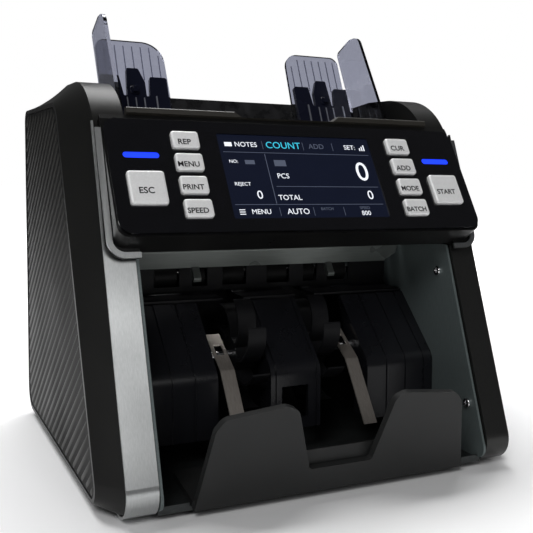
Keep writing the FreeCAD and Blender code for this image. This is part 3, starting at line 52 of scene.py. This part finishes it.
class Shader:
    """A node material built up from noise, ramps and bump."""

    def __init__(self, name):
        self.material = bpy.data.materials.new(name)
        self.material.use_nodes = True
        self.tree = self.material.node_tree
        self.surface = self.tree.nodes["Principled BSDF"]
        coordinates = self.tree.nodes.new("ShaderNodeTexCoord")
        self.place = coordinates.outputs["Object"]
        self.bumped = None

    def put(self, kind, **settings):
        node = self.tree.nodes.new(kind)
        for key, value in settings.items():
            setattr(node, key, value)
        return node

    def link(self, start, end):
        self.tree.links.new(start, end)

    def constant(self, **values):
        for key, value in values.items():
            self.surface.inputs[key.replace("_", " ")].default_value = value
        return self

    def stretched(self, stretch):
        mapping = self.put("ShaderNodeMapping")
        mapping.inputs["Scale"].default_value = stretch
        self.link(self.place, mapping.inputs["Vector"])
        return mapping.outputs["Vector"]

    def noise(self, scale, detail=4.0, stretch=(1, 1, 1)):
        noise = self.put("ShaderNodeTexNoise")
        noise.inputs["Scale"].default_value = scale
        noise.inputs["Detail"].default_value = detail
        self.link(self.stretched(stretch), noise.inputs["Vector"])
        return noise.outputs["Fac"]

    def ramp(self, source, low, high):
        ramp = self.put("ShaderNodeValToRGB")
        ramp.color_ramp.elements[0].position = NOISE_LOW
        ramp.color_ramp.elements[1].position = NOISE_HIGH
        ramp.color_ramp.elements[0].color = tuple(low) + (1,)
        ramp.color_ramp.elements[1].color = tuple(high) + (1,)
        self.link(source, ramp.inputs["Fac"])
        return ramp.outputs["Color"]

    def spread(self, source, low, high):
        spread = self.put("ShaderNodeMapRange")
        spread.inputs["From Min"].default_value = NOISE_LOW
        spread.inputs["From Max"].default_value = NOISE_HIGH
        spread.inputs["To Min"].default_value = low
        spread.inputs["To Max"].default_value = high
        self.link(source, spread.inputs["Value"])
        return spread.outputs["Result"]

    def bump(self, source, strength, depth):
        bump = self.put("ShaderNodeBump")
        bump.inputs["Strength"].default_value = strength
        bump.inputs["Distance"].default_value = depth
        self.link(source, bump.inputs["Height"])
        if self.bumped is not None:
            self.link(self.bumped, bump.inputs["Normal"])
        self.bumped = bump.outputs["Normal"]
        self.link(self.bumped, self.surface.inputs["Normal"])
        return self


def shade(colour, share):
    return tuple(min(1.0, channel * share) for channel in colour)


def moulded(name, colour, rough, gloss=0.16):
    """Plastic with a fine moulded grain, slight wear and uneven gloss."""
    shader = Shader(name)
    cloud = shader.noise(22, 5)
    fine = shader.noise(GRAIN_SCALE, 2)
    tone = shader.ramp(cloud, shade(colour, 1 - 0.12), shade(colour, 1 + 0.12))
    shader.link(tone, shader.surface.inputs["Base Color"])
    wear = shader.spread(cloud, rough - 0.04, rough + 0.05)
    shader.link(wear, shader.surface.inputs["Roughness"])
    shader.bump(fine, 0.35, GRAIN_DEPTH)
    shader.constant(Specular_IOR_Level=gloss)
    return shader.material


def brushed(name, colour, rough, stretch, vary=0.1, metallic=1.0):
    """Metal with a brushed or rolled grain along one direction."""
    shader = Shader(name)
    grain = shader.noise(900, 3, stretch)
    cloud = shader.noise(14, 3)
    tone = shader.ramp(grain, shade(colour, 1 - vary), shade(colour, 1 + vary))
    shader.link(tone, shader.surface.inputs["Base Color"])
    wear = shader.spread(cloud, rough - 0.05, rough + 0.06)
    shader.link(wear, shader.surface.inputs["Roughness"])
    shader.constant(Metallic=metallic)
    shader.bump(grain, 0.25, BRUSH_DEPTH)
    return shader.material


def glossy(name, colour, rough):
    """Polished plastic or lacquer with faint orange peel."""
    shader = Shader(name)
    peel = shader.noise(160, 2)
    tone = shader.ramp(peel, shade(colour, 1 - 0.2), shade(colour, 1 + 0.2))
    shader.link(tone, shader.surface.inputs["Base Color"])
    shader.link(shader.spread(peel, rough, rough + 0.04), shader.surface.inputs["Roughness"])
    shader.constant(Coat_Weight=0.6, Coat_Roughness=0.04)
    shader.bump(peel, 0.05, 0.00004)
    return shader.material


def smoked(name, tint):
    """Clear smoke-grey acrylic with faint scuffs."""
    shader = Shader(name)
    scuff = shader.noise(300, 6)
    tone = shader.ramp(scuff, shade(tint, 0.96), shade(tint, 1.04))
    shader.link(tone, shader.surface.inputs["Base Color"])
    shader.link(shader.spread(scuff, 0.02, 0.07), shader.surface.inputs["Roughness"])
    shader.constant(Transmission_Weight=1.0, IOR=1.42)
    return shader.material


def lit(name, colour, strength):
    """A lit surface whose glow is slightly uneven."""
    shader = Shader(name)
    glow = shader.noise(90, 2)
    tone = shader.ramp(glow, shade(colour, 0.92), shade(colour, 1.0))
    shader.link(tone, shader.surface.inputs["Emission Color"])
    unlit = shade(colour, 0.2) + (1,)
    shader.constant(Base_Color=unlit, Roughness=0.2, Emission_Strength=strength)
    return shader.material


def crackled(name, colour):
    """Dark glossy moulding with a flowing leather-like texture."""
    shader = Shader(name)
    large = shader.noise(120, 8)
    tone = shader.ramp(large, shade(colour, 0.5), shade(colour, 1.7))
    shader.link(tone, shader.surface.inputs["Base Color"])
    shader.link(shader.spread(large, 0.2, 0.4), shader.surface.inputs["Roughness"])
    shader.constant(Specular_IOR_Level=0.3)
    shader.bump(large, 0.5, 0.0004)
    return shader.material


SHELL = moulded("shell", (0.006, 0.006, 0.0055), 0.36)
CROWN = moulded("crown", (0.012, 0.011, 0.0105), 0.34)
RIBBED = moulded("insert", (0.004, 0.004, 0.004), 0.5, gloss=0.04)
# The ribs are the insert's own plastic, coloured lighter as painted highlight where light catches them.
RIB_PAINTED_HIGHLIGHT = moulded("insert_rib_painted_highlight", (0.016, 0.016, 0.014), 0.4, gloss=0.1)
GLASS = glossy("head_glass", (0.002, 0.002, 0.003), 0.05)
HOUSING = moulded("head_housing", (0.006, 0.006, 0.006), 0.3)
KEY = brushed("key_silver", (0.78, 0.78, 0.78), 0.36, (1, 1, 1), 0.04, 0.15)
LEGEND = moulded("legend_ink", (0.01, 0.01, 0.012), 0.5)
TRIM = brushed("pillar_trim", (0.44, 0.45, 0.45), 0.3, (3, 1, 0.15), 0.08)
# The right front trim is the same metal as the left, darkened as painted shade: its dark colour stands in
# for the dark reflection it shows.
TRIM_IN_PAINTED_SHADE = brushed("pillar_trim_painted_shade", (0.03, 0.03, 0.029), 0.3, (3, 1, 0.15), 0.1, 0.6)
GUNMETAL = brushed("bay_wall", (0.12, 0.145, 0.145), 0.42, (1, 3, 0.2), 0.12, 0.3)
CROSSBAR = brushed("crossbar", (0.16, 0.175, 0.165), 0.3, (0.1, 2, 2), 0.08, 0.45)
SLIDE = brushed("note_slide", (0.34, 0.31, 0.28), 0.34, (2, 0.3, 0.3), 0.1, 0.75)
SCREEN = lit("screen", (0.004, 0.006, 0.016), 1.0)
WHITE_PIXEL = lit("screen_white", (0.9, 0.93, 1.0), 1.0)
CYAN_PIXEL = lit("screen_cyan", (0.05, 0.55, 0.75), 1.0)
DIM_PIXEL = lit("screen_dim", (0.12, 0.14, 0.2), 0.6)
BLUE = lit("status_blue", (0.012, 0.045, 1.0), 1.6)
BOARD = moulded("circuit_board", (0.02, 0.12, 0.05), 0.35, gloss=0.5)
SMOKE = smoked("smoke_clear", (0.27, 0.28, 0.35))
CARRIAGE = moulded("carriage", (0.006, 0.007, 0.016), 0.25)
CARRIAGE_EDGE = brushed("carriage_trim", (0.25, 0.26, 0.3), 0.3, (1, 1, 1), 0.1, 0.6)
FLOOR_WALL = crackled("hopper_wall", (0.012, 0.012, 0.013))
LIP = moulded("hopper_lip", (0.026, 0.024, 0.02), 0.38, gloss=0.35)
COVER = moulded("stacker_cover", (0.007, 0.0072, 0.009), 0.28, gloss=0.3)
TRAY = moulded("tray", (0.019, 0.0195, 0.0195), 0.42, gloss=0.25)
WHEEL = moulded("wheel_rubber", (0.006, 0.006, 0.007), 0.45)
ROLLER = moulded("roller_rubber", (0.007, 0.007, 0.007), 0.5)
STEEL = brushed("shaft_steel", (0.75, 0.75, 0.76), 0.14, (0.1, 2, 2), 0.05)
SHEET = brushed("sheet_steel", (0.5, 0.51, 0.52), 0.2, (0.15, 2, 1), 0.1)
ZINC = brushed("zinc", (0.5, 0.5, 0.48), 0.4, (1, 1, 1), 0.15)
BELT = moulded("belt", (0.01, 0.01, 0.01), 0.6)
FOOT = moulded("foot", (0.012, 0.012, 0.012), 0.7)
CAN = brushed("motor_can", (0.5, 0.5, 0.51), 0.3, (0.2, 2, 2), 0.08)
SENSOR = glossy("sensor_bar", (0.006, 0.006, 0.008), 0.1)
GEAR = moulded("gear", (0.6, 0.6, 0.56), 0.4, gloss=0.5)
REAR = moulded("rear_cover", (0.014, 0.014, 0.014), 0.42)
PAN = brushed("base_pan", (0.06, 0.065, 0.065), 0.4, (0.3, 2, 1), 0.15, 0.8)

FINISHES = {
    "satin_black": SHELL,
    "crown_black": LIP,
    "insert_black": RIBBED,
    "gunmetal": GUNMETAL,
    "bright_strip": TRIM,
    "glass_black": GLASS,
    "housing_black": HOUSING,
    "display": SCREEN,
    "circuit_board": BOARD,
    "blue_light": BLUE,
    "key_silver": KEY,
    "smoke_clear": SMOKE,
    "carriage_black": CARRIAGE,
    "gear_white": GEAR,
    "cover_grey": COVER,
    "tray_grey": TRAY,
    "wheel_rubber": WHEEL,
    "roller_rubber": ROLLER,
    "shaft_steel": STEEL,
    "sheet_steel": SHEET,
    "zinc_steel": ZINC,
    "belt_rubber": BELT,
    "foot_rubber": FOOT,
    "motor_can": CAN,
    "sensor_black": SENSOR,
    "inlet_black": HOUSING,
    "bay_black": WHEEL,
}
NODE_FINISHES = {
    "base_pan": PAN,
    "hopper_floor": FLOOR_WALL,
    "rear_deck": CROWN,
    "rear_panel": REAR,
    "rear_door": REAR,
    "exit_crossbar": CROSSBAR,
    "note_slides": SLIDE,
    # painted shade: the right front trim gets the darkened copy of the trim metal
    "right_front_trim": TRIM_IN_PAINTED_SHADE,
}


def paint(item, material):
    item.data.materials.clear()
    item.data.materials.append(material)


for entry in frame["record"]["subparts"]:
    name = entry["node"]
    paint(nodes[name], NODE_FINISHES.get(name, FINISHES[entry["material_slot"]]))


# ------------------------------------------------------------------ helpers


def cad_points(node):
    return [vertex.co.copy() for vertex in nodes[node].data.vertices]


def new_mesh(name, build, body, material):
    """A piece whose mesh the build function makes in row coordinates."""
    mesh = bmesh.new()
    build(mesh)
    bmesh.ops.recalc_face_normals(mesh, faces=mesh.faces)
    data = bpy.data.meshes.new(name)
    mesh.to_mesh(data)
    mesh.free()
    item = bpy.data.objects.new(name, data)
    scene.collection.objects.link(item)
    paint(item, material)
    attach(item, body)
    return item


class Plane:
    """A place on the object with its right, up and outward directions."""

    def __init__(self, origin, right, up):
        self.origin = Vector(origin)
        self.right = Vector(right).normalized()
        self.up = Vector(up).normalized()
        self.out = self.right.cross(self.up)

    def at(self, across, rise, out=0.0):
        return self.origin + self.right * across + self.up * rise + self.out * out

    def moved(self, across, rise, out=0.0):
        return Plane(self.at(across, rise, out), self.right, self.up)

    def matrix(self):
        turn = Matrix((self.right, self.up, self.out)).transposed().to_4x4()
        return Matrix.Translation(self.origin) @ turn


def solid_bar(mesh, plane, outline, low, high, bevel=0.0):
    """A closed outline on a plane, made solid between two distances out of it."""
    count = len(outline)
    bottom = [mesh.verts.new(plane.at(x, y, low)) for x, y in outline]
    if bevel:
        middle_x = sum(x for x, y in outline) / count
        middle_y = sum(y for x, y in outline) / count
        rim = [mesh.verts.new(plane.at(x, y, high - bevel)) for x, y in outline]
        top = []
        for x, y in outline:
            reach = math.hypot(x - middle_x, y - middle_y)
            share = max(0.0, (reach - bevel) / reach)
            top_x = middle_x + (x - middle_x) * share
            top_y = middle_y + (y - middle_y) * share
            top.append(mesh.verts.new(plane.at(top_x, top_y, high)))
        rings = [bottom, rim, top]
    else:
        rings = [bottom, [mesh.verts.new(plane.at(x, y, high)) for x, y in outline]]
    for first, second in zip(rings, rings[1:]):
        for i in range(count):
            j = (i + 1) % count
            mesh.faces.new((first[i], first[j], second[j], second[i]))
    mesh.faces.new(rings[0])
    mesh.faces.new(rings[-1])


def rounded_box(width, height, radius, steps=4):
    """The outline of a rectangle with round corners, about its middle."""
    outline = []
    corners = ((1, 1, 0), (-1, 1, 90), (-1, -1, 180), (1, -1, 270))
    for sign_x, sign_y, start in corners:
        centre_x = sign_x * (width / 2 - radius)
        centre_y = sign_y * (height / 2 - radius)
        for step in range(steps + 1):
            angle = math.radians(start + 90 * step / steps)
            place = (centre_x + radius * math.cos(angle), centre_y + radius * math.sin(angle))
            outline.append(place)
    return outline


CAPITAL_SHARE = 0.7
INK_THICKNESS = 0.00003


def line_of_text(name, text, height, plane, body, material, bold=0.0):
    """Raised lettering. Height is that of a capital, and plane is at its middle."""
    curve = bpy.data.curves.new(name, "FONT")
    curve.body = text
    curve.size = height / CAPITAL_SHARE
    curve.align_x = "CENTER"
    curve.align_y = "CENTER"
    curve.extrude = INK_THICKNESS
    curve.offset = bold
    curve.resolution_u = 4
    item = bpy.data.objects.new(name, curve)
    scene.collection.objects.link(item)
    item.matrix_world = plane.matrix()
    curve.materials.append(material)
    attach(item, body)
    return item


# ------------------------------------------------------------------ control head

press = Vector(joints["press_esc"]["axis"])
out_of_head = -press.normalized()
head_up = out_of_head.cross(Vector((1, 0, 0))) * -1
if head_up.z < 0:
    head_up = -head_up


def top_of(node):
    """The middle of a node's face that looks out of the control head, and its size."""
    points = cad_points(node)
    high = max(point.dot(out_of_head) for point in points)
    near = [point for point in points if point.dot(out_of_head) > high - 0.00015]
    xs = [point.x for point in near]
    ups = [point.dot(head_up) for point in near]
    middle_x = (min(xs) + max(xs)) / 2
    middle_up = (min(ups) + max(ups)) / 2
    origin = Vector((middle_x, 0, 0)) + head_up * middle_up + out_of_head * high
    return Plane(origin, (1, 0, 0), head_up), max(xs) - min(xs), max(ups) - min(ups)


LEGEND_SHIFT = -0.0012
LEGEND_BOLD = 0.00009
INK_LIFT = 0.00002
# Each key's word, the height of its capitals and how far it sits below the middle.
KEY_WORDS = {
    "esc": ("ESC", 0.0035, 0.0024),
    "start": ("START", 0.0031, 0.0024),
    "rep": ("REP", 0.0032, 0.0020),
    "menu": ("MENU", 0.0031, 0.0020),
    "print": ("PRINT", 0.0030, 0.0020),
    "speed": ("SPEED", 0.0030, 0.0020),
    "cur": ("CUR", 0.0032, 0.0020),
    "add": ("ADD", 0.0032, 0.0020),
    "mode": ("MODE", 0.0030, 0.0020),
    "batch": ("BATCH", 0.0029, 0.0020),
}
for key, (word, letter_height, drop) in KEY_WORDS.items():
    cap = top_of(f"key_{key}")[0]
    place = cap.moved(LEGEND_SHIFT, -drop, INK_LIFT)
    line_of_text(
        f"legend_{key}",
        word,
        letter_height,
        place,
        f"button_{key}",
        LEGEND,
        bold=LEGEND_BOLD,
    )

screen, screen_width, screen_height = top_of("lcd_module")


def on_screen(across, down):
    """A place on the display: across from its left and down from its top, from 0 to 1."""
    return screen.moved((across - 0.5) * screen_width, (0.5 - down) * screen_height, 0.00005)


SCREEN_WORDS = [
    ("COUNT", 0.41, 0.12, 0.0042, CYAN_PIXEL),
    ("ADD", 0.63, 0.12, 0.0032, DIM_PIXEL),
    ("NOTES", 0.17, 0.12, 0.0030, WHITE_PIXEL),
    ("SET:", 0.86, 0.12, 0.0030, WHITE_PIXEL),
    ("NO:", 0.07, 0.33, 0.0020, WHITE_PIXEL),
    ("PCS", 0.36, 0.50, 0.0031, WHITE_PIXEL),
    ("0", 0.90, 0.44, 0.0122, WHITE_PIXEL),
    ("REJECT", 0.095, 0.60, 0.0021, WHITE_PIXEL),
    ("0", 0.185, 0.73, 0.0050, WHITE_PIXEL),
    ("TOTAL", 0.37, 0.76, 0.0031, WHITE_PIXEL),
    ("0", 0.91, 0.73, 0.0056, WHITE_PIXEL),
    ("MENU", 0.17, 0.925, 0.0029, WHITE_PIXEL),
    ("AUTO", 0.40, 0.925, 0.0034, WHITE_PIXEL),
    ("BATCH", 0.59, 0.895, 0.0017, DIM_PIXEL),
    ("SPEED", 0.845, 0.885, 0.0017, DIM_PIXEL),
    ("800", 0.845, 0.95, 0.0028, WHITE_PIXEL),
]
for number, (word, across, down, letter_height, material) in enumerate(SCREEN_WORDS):
    line_of_text(
        f"screen_word_{number:02d}",
        word,
        letter_height,
        on_screen(across, down),
        "chassis",
        material,
    )


def screen_bars(bars):
    """Thin lit rectangles: (across, down, width, height) as shares of the display."""

    def build(mesh):
        for across, down, wide, tall in bars:
            outline = rounded_box(wide * screen_width, tall * screen_height, 0.00004, 1)
            solid_bar(mesh, on_screen(across, down), outline, 0, 0.00004)

    return build


RULES = [
    (0.5, 0.215, 0.96, 0.006),
    (0.275, 0.53, 0.004, 0.60),
    (0.64, 0.625, 0.68, 0.006),
    (0.5, 0.84, 0.96, 0.006),
    (0.285, 0.925, 0.003, 0.10),
    (0.50, 0.925, 0.003, 0.10),
    (0.70, 0.925, 0.003, 0.10),
    (0.275, 0.12, 0.003, 0.10),
    (0.54, 0.12, 0.003, 0.10),
    (0.74, 0.12, 0.003, 0.10),
]
new_mesh("screen_rules", screen_bars(RULES), "chassis", DIM_PIXEL)
ICONS = [(0.93, 0.14, 0.008, 0.035), (0.945, 0.13, 0.008, 0.055), (0.96, 0.12, 0.008, 0.075)]
ICONS += [(0.055, 0.900 + 0.025 * step, 0.035, 0.009) for step in range(3)]
ICONS += [(0.06, 0.12, 0.045, 0.05)]
new_mesh("screen_icons", screen_bars(ICONS), "chassis", WHITE_PIXEL)
BOXES = [(0.36, 0.34, 0.075, 0.075), (0.17, 0.335, 0.06, 0.05)]
new_mesh("screen_boxes", screen_bars(BOXES), "chassis", DIM_PIXEL)


# ------------------------------------------------------------------ ribbed side inserts


def side_hull(points):
    """The outline of the points seen from the side, as a convex ring of (y, z)."""
    points = sorted({(round(point.y, 6), round(point.z, 6)) for point in points})

    def half(sequence):
        chain = []
        for point in sequence:
            while len(chain) > 1 and turn(chain[-2], chain[-1], point) <= 0:
                chain.pop()
            chain.append(point)
        return chain[:-1]

    def turn(a, b, c):
        return (b[0] - a[0]) * (c[1] - a[1]) - (b[1] - a[1]) * (c[0] - a[0])

    return half(points) + half(points[::-1])


def chord(ring, origin, direction):
    """Where a line crosses a convex ring, as two distances along it, or None."""
    crossings = []
    for (y1, z1), (y2, z2) in zip(ring, ring[1:] + ring[:1]):
        edge = (y2 - y1, z2 - z1)
        across = direction[0] * edge[1] - direction[1] * edge[0]
        if abs(across) < 1e-12:
            continue
        off = (y1 - origin[0], z1 - origin[1])
        along = (off[0] * edge[1] - off[1] * edge[0]) / across
        share = (off[0] * direction[1] - off[1] * direction[0]) / across
        if 0 <= share <= 1:
            crossings.append(along)
    if len(crossings) < 2:
        return None
    return min(crossings), max(crossings)


RIB_PITCH = 0.0062
RIB_LEAN = math.radians(-52)
RIB_HEIGHT = 0.00036


def rib_builder(side):
    points = [point for point in cad_points("side_inserts") if point.x * side > 0]
    face_x = side * max(abs(point.x) for point in points)
    ring = side_hull(points)
    direction = (math.sin(RIB_LEAN), math.cos(RIB_LEAN))
    across = (direction[1], -direction[0])

    def build(mesh):
        reach = 0.32
        steps = int(reach / RIB_PITCH)
        for step in range(-steps, steps):
            origin = (across[0] * step * RIB_PITCH, across[1] * step * RIB_PITCH + 0.1)
            span = chord(ring, origin, direction)
            if span is None or span[1] - span[0] < 0.008:
                continue
            start, end = span[0] + 0.0022, span[1] - 0.0022
            sections = [(start, 0.0), (start + 0.001, 1.0), (end - 0.001, 1.0), (end, 0.0)]
            profile = [(-0.5, 0.0), (-0.28, 0.75), (0.0, 1.0), (0.28, 0.75), (0.5, 0.0)]
            rows = []
            for along, share in sections:
                row = []
                for sideways, rise in profile:
                    width = sideways * RIB_PITCH * 0.46 * (0.35 + 0.65 * share)
                    y = origin[0] + direction[0] * along + across[0] * width
                    z = origin[1] + direction[1] * along + across[1] * width
                    x = face_x + side * (RIB_HEIGHT * rise * share - 0.00002)
                    row.append(mesh.verts.new((x, y, z)))
                rows.append(row)
            for first, second in zip(rows, rows[1:]):
                for i in range(len(profile) - 1):
                    mesh.faces.new((first[i], first[i + 1], second[i + 1], second[i]))

    return build


for name, side in (("left", -1), ("right", 1)):
    # painted highlight: the ribs carry the lighter rib colour
    ribs = new_mesh(f"{name}_insert_ribs", rib_builder(side), "chassis", RIB_PAINTED_HIGHLIGHT)
    for face in ribs.data.polygons:
        face.use_smooth = True


# ------------------------------------------------------------------ note guides

out_of_wall = -Vector(joints["guide_gear_turn"]["axis"]).normalized()
wall_up = Vector((0, -out_of_wall.z, out_of_wall.y))
if wall_up.z < 0:
    wall_up = -wall_up


def guide_details(name, side):
    """Raised ribs on the guide's back, and a latch and rails on its carriage."""
    points = cad_points(f"{name}_note_guide")
    near = min(point.dot(out_of_wall) for point in points)
    back = [point for point in points if point.dot(out_of_wall) < near + 0.0023]
    inner = min(abs(point.x) for point in back)
    backs = [point for point in back if abs(point.x) < inner + 0.03]
    top = max(point.dot(wall_up) for point in backs)
    origin = wall_up * top + out_of_wall * (near + 0.0022)
    plane = Plane(origin, (1, 0, 0), wall_up)

    def ribs(mesh):
        for step in range(7):
            x = inner + 0.0055 + step * 0.0056
            drop = 0.004 if step else 0.0095
            length = 0.024 - (0.006 if step == 0 else 0.0)
            outline = rounded_box(0.0006, length, 0.00028, 3)
            rib = plane.moved(side * x, -drop - length / 2)
            solid_bar(mesh, rib, outline, -0.00005, 0.0004, 0.0001)

    new_mesh(f"{name}_guide_ribs", ribs, f"{name}_guide", SMOKE)
    carriage = cad_points(f"{name}_guide_carriage")
    tip = max(point.dot(wall_up) for point in carriage)
    crest = [point for point in carriage if point.dot(wall_up) > tip - 0.002]
    middle = sum(abs(point.x) for point in crest) / len(crest)
    front = max(point.dot(out_of_wall) for point in carriage)
    latch = Plane(wall_up * tip + out_of_wall * front, (1, 0, 0), wall_up)

    def catch(mesh):
        frame_plane = latch.moved(side * middle, -0.0155)
        solid_bar(mesh, frame_plane, rounded_box(0.0058, 0.0062, 0.0020), -0.0001, 0.0007, 0.0003)
        block_plane = frame_plane.moved(0, -0.0004, 0.0020)
        solid_bar(mesh, block_plane, rounded_box(0.0036, 0.0036, 0.0005), 0, 0.0006, 0.0002)

    new_mesh(f"{name}_guide_latch", catch, f"{name}_guide", CARRIAGE)

    def rails(mesh):
        for shift in (-0.0135, 0.0135):
            rail = latch.moved(side * (middle + shift), -0.036)
            solid_bar(mesh, rail, rounded_box(0.0009, 0.034, 0.0004, 3), -0.0001, 0.0006, 0.0002)
        for shift in (-0.0055, 0.0, 0.0055):
            rail = latch.moved(side * (middle + shift), -0.0335)
            solid_bar(mesh, rail, rounded_box(0.0007, 0.026, 0.0003, 3), -0.0001, 0.0005, 0.0002)

    new_mesh(f"{name}_guide_rails", rails, f"{name}_guide", CARRIAGE_EDGE)


guide_details("left", -1)
guide_details("right", 1)


# ------------------------------------------------------------------ camera and light

YAW = math.radians(25.277)
PITCH = math.radians(6.399)
ROLL = math.radians(1.0098)
EYE = (-0.21243, -0.46033, 0.16969)
SENSOR_WIDTH = 36
# The frame's width, the focal length and the lens's centre, all in one unit.
FRAME_SIZE = 533
FOCAL_LENGTH = 818.06
CENTRE_X = 266.12
CENTRE_Y = 259.74
forward = Vector(
    (math.sin(YAW) * math.cos(PITCH), math.cos(YAW) * math.cos(PITCH), -math.sin(PITCH))
)
level = Vector((math.cos(YAW), -math.sin(YAW), 0))
above = level.cross(forward)
right = level * math.cos(ROLL) + above * math.sin(ROLL)
up = above * math.cos(ROLL) - level * math.sin(ROLL)
camera_data = bpy.data.cameras.new("camera")
camera_data.sensor_width = SENSOR_WIDTH
camera_data.lens = FOCAL_LENGTH * SENSOR_WIDTH / FRAME_SIZE
camera_data.shift_x = (FRAME_SIZE / 2 - CENTRE_X) / FRAME_SIZE
camera_data.shift_y = (CENTRE_Y - FRAME_SIZE / 2) / FRAME_SIZE
camera_data.clip_start = 0.01
camera = bpy.data.objects.new("camera", camera_data)
scene.collection.objects.link(camera)
turn = Matrix((right, up, -forward)).transposed().to_4x4()
camera.matrix_world = Matrix.Translation(EYE) @ turn
scene.camera = camera


def softbox(name, place, target, width, height, power):
    data = bpy.data.lights.new(name, "AREA")
    data.shape = "RECTANGLE"
    data.size = width
    data.size_y = height
    data.energy = power
    item = bpy.data.objects.new(name, data)
    scene.collection.objects.link(item)
    direction = Vector(target) - Vector(place)
    aim = direction.to_track_quat("-Z", "Y").to_matrix().to_4x4()
    item.matrix_world = Matrix.Translation(place) @ aim


middle = (0, 0, 0.12)
softbox("key_light", (-0.9, -1.1, 1.3), middle, 0.7, 0.7, 12)
softbox("top_light", (0.0, 0.7, 1.6), middle, 1.6, 0.9, 40)
softbox("side_light", (-1.5, 0.3, 0.9), middle, 0.4, 1.0, 1.5)
softbox("trim_light", (0.15, -1.3, 0.72), (-0.1, 0, 0.08), 0.3, 0.4, 1.4)
softbox("right_light", (1.3, 0.7, 0.7), middle, 0.5, 0.9, 4)

world = bpy.data.worlds.new("studio")
world.use_nodes = True
world_tree = world.node_tree
dim = world_tree.nodes["Background"]
dim.inputs["Color"].default_value = (0.95, 0.96, 1.0, 1)
dim.inputs["Strength"].default_value = 0.06
bright = world_tree.nodes.new("ShaderNodeBackground")
bright.inputs["Color"].default_value = (1.0, 1.0, 1.0, 1)
bright.inputs["Strength"].default_value = 1.0
rays = world_tree.nodes.new("ShaderNodeLightPath")
blend = world_tree.nodes.new("ShaderNodeMixShader")
seen = world_tree.nodes.new("ShaderNodeMath")
seen.operation = "MAXIMUM"
world_tree.links.new(rays.outputs["Is Camera Ray"], seen.inputs[0])
world_tree.links.new(rays.outputs["Is Transmission Ray"], seen.inputs[1])
world_tree.links.new(seen.outputs["Value"], blend.inputs["Fac"])
world_tree.links.new(dim.outputs["Background"], blend.inputs[1])
world_tree.links.new(bright.outputs["Background"], blend.inputs[2])
world_tree.links.new(blend.outputs["Shader"], world_tree.nodes["World Output"].inputs["Surface"])
scene.world = world
scene.view_settings.view_transform = "Standard"


FLOOR_REACH = 6


def floor_mesh(mesh):
    outline = [(-1, -1), (1, -1), (1, 1), (-1, 1)]
    corners = [mesh.verts.new((x * FLOOR_REACH, y * FLOOR_REACH, 0)) for x, y in outline]
    mesh.faces.new(corners)


floor_shader = Shader("studio_floor")
floor_cloud = floor_shader.noise(3, 3)
floor_tone = floor_shader.ramp(floor_cloud, (0.86, 0.86, 0.87), (0.9, 0.9, 0.9))
floor_shader.link(floor_tone, floor_shader.surface.inputs["Base Color"])
far_away = floor_shader.put("ShaderNodeTexGradient", gradient_type="SPHERICAL")
floor_shader.link(floor_shader.stretched((0.7, 0.7, 0.7)), far_away.inputs["Vector"])
cove = floor_shader.put("ShaderNodeMapRange")
cove.inputs["From Min"].default_value = 0.75
cove.inputs["From Max"].default_value = 0.25
cove.inputs["To Min"].default_value = 0.0
cove.inputs["To Max"].default_value = 1.0
floor_shader.link(far_away.outputs["Fac"], cove.inputs["Value"])
floor_rays = floor_shader.put("ShaderNodeLightPath")
glow = floor_shader.put("ShaderNodeMath", operation="MULTIPLY")
floor_shader.link(cove.outputs["Result"], glow.inputs[0])
floor_shader.link(floor_rays.outputs["Is Camera Ray"], glow.inputs[1])
floor_shader.link(glow.outputs["Value"], floor_shader.surface.inputs["Emission Strength"])
floor_shader.constant(Roughness=0.7, Emission_Color=(1.0, 1.0, 1.0, 1))
floor_bmesh = bmesh.new()
floor_mesh(floor_bmesh)
floor_data = bpy.data.meshes.new("studio_floor")
floor_bmesh.to_mesh(floor_data)
floor_bmesh.free()
floor = bpy.data.objects.new("studio_floor", floor_data)
scene.collection.objects.link(floor)
paint(floor, floor_shader.material)
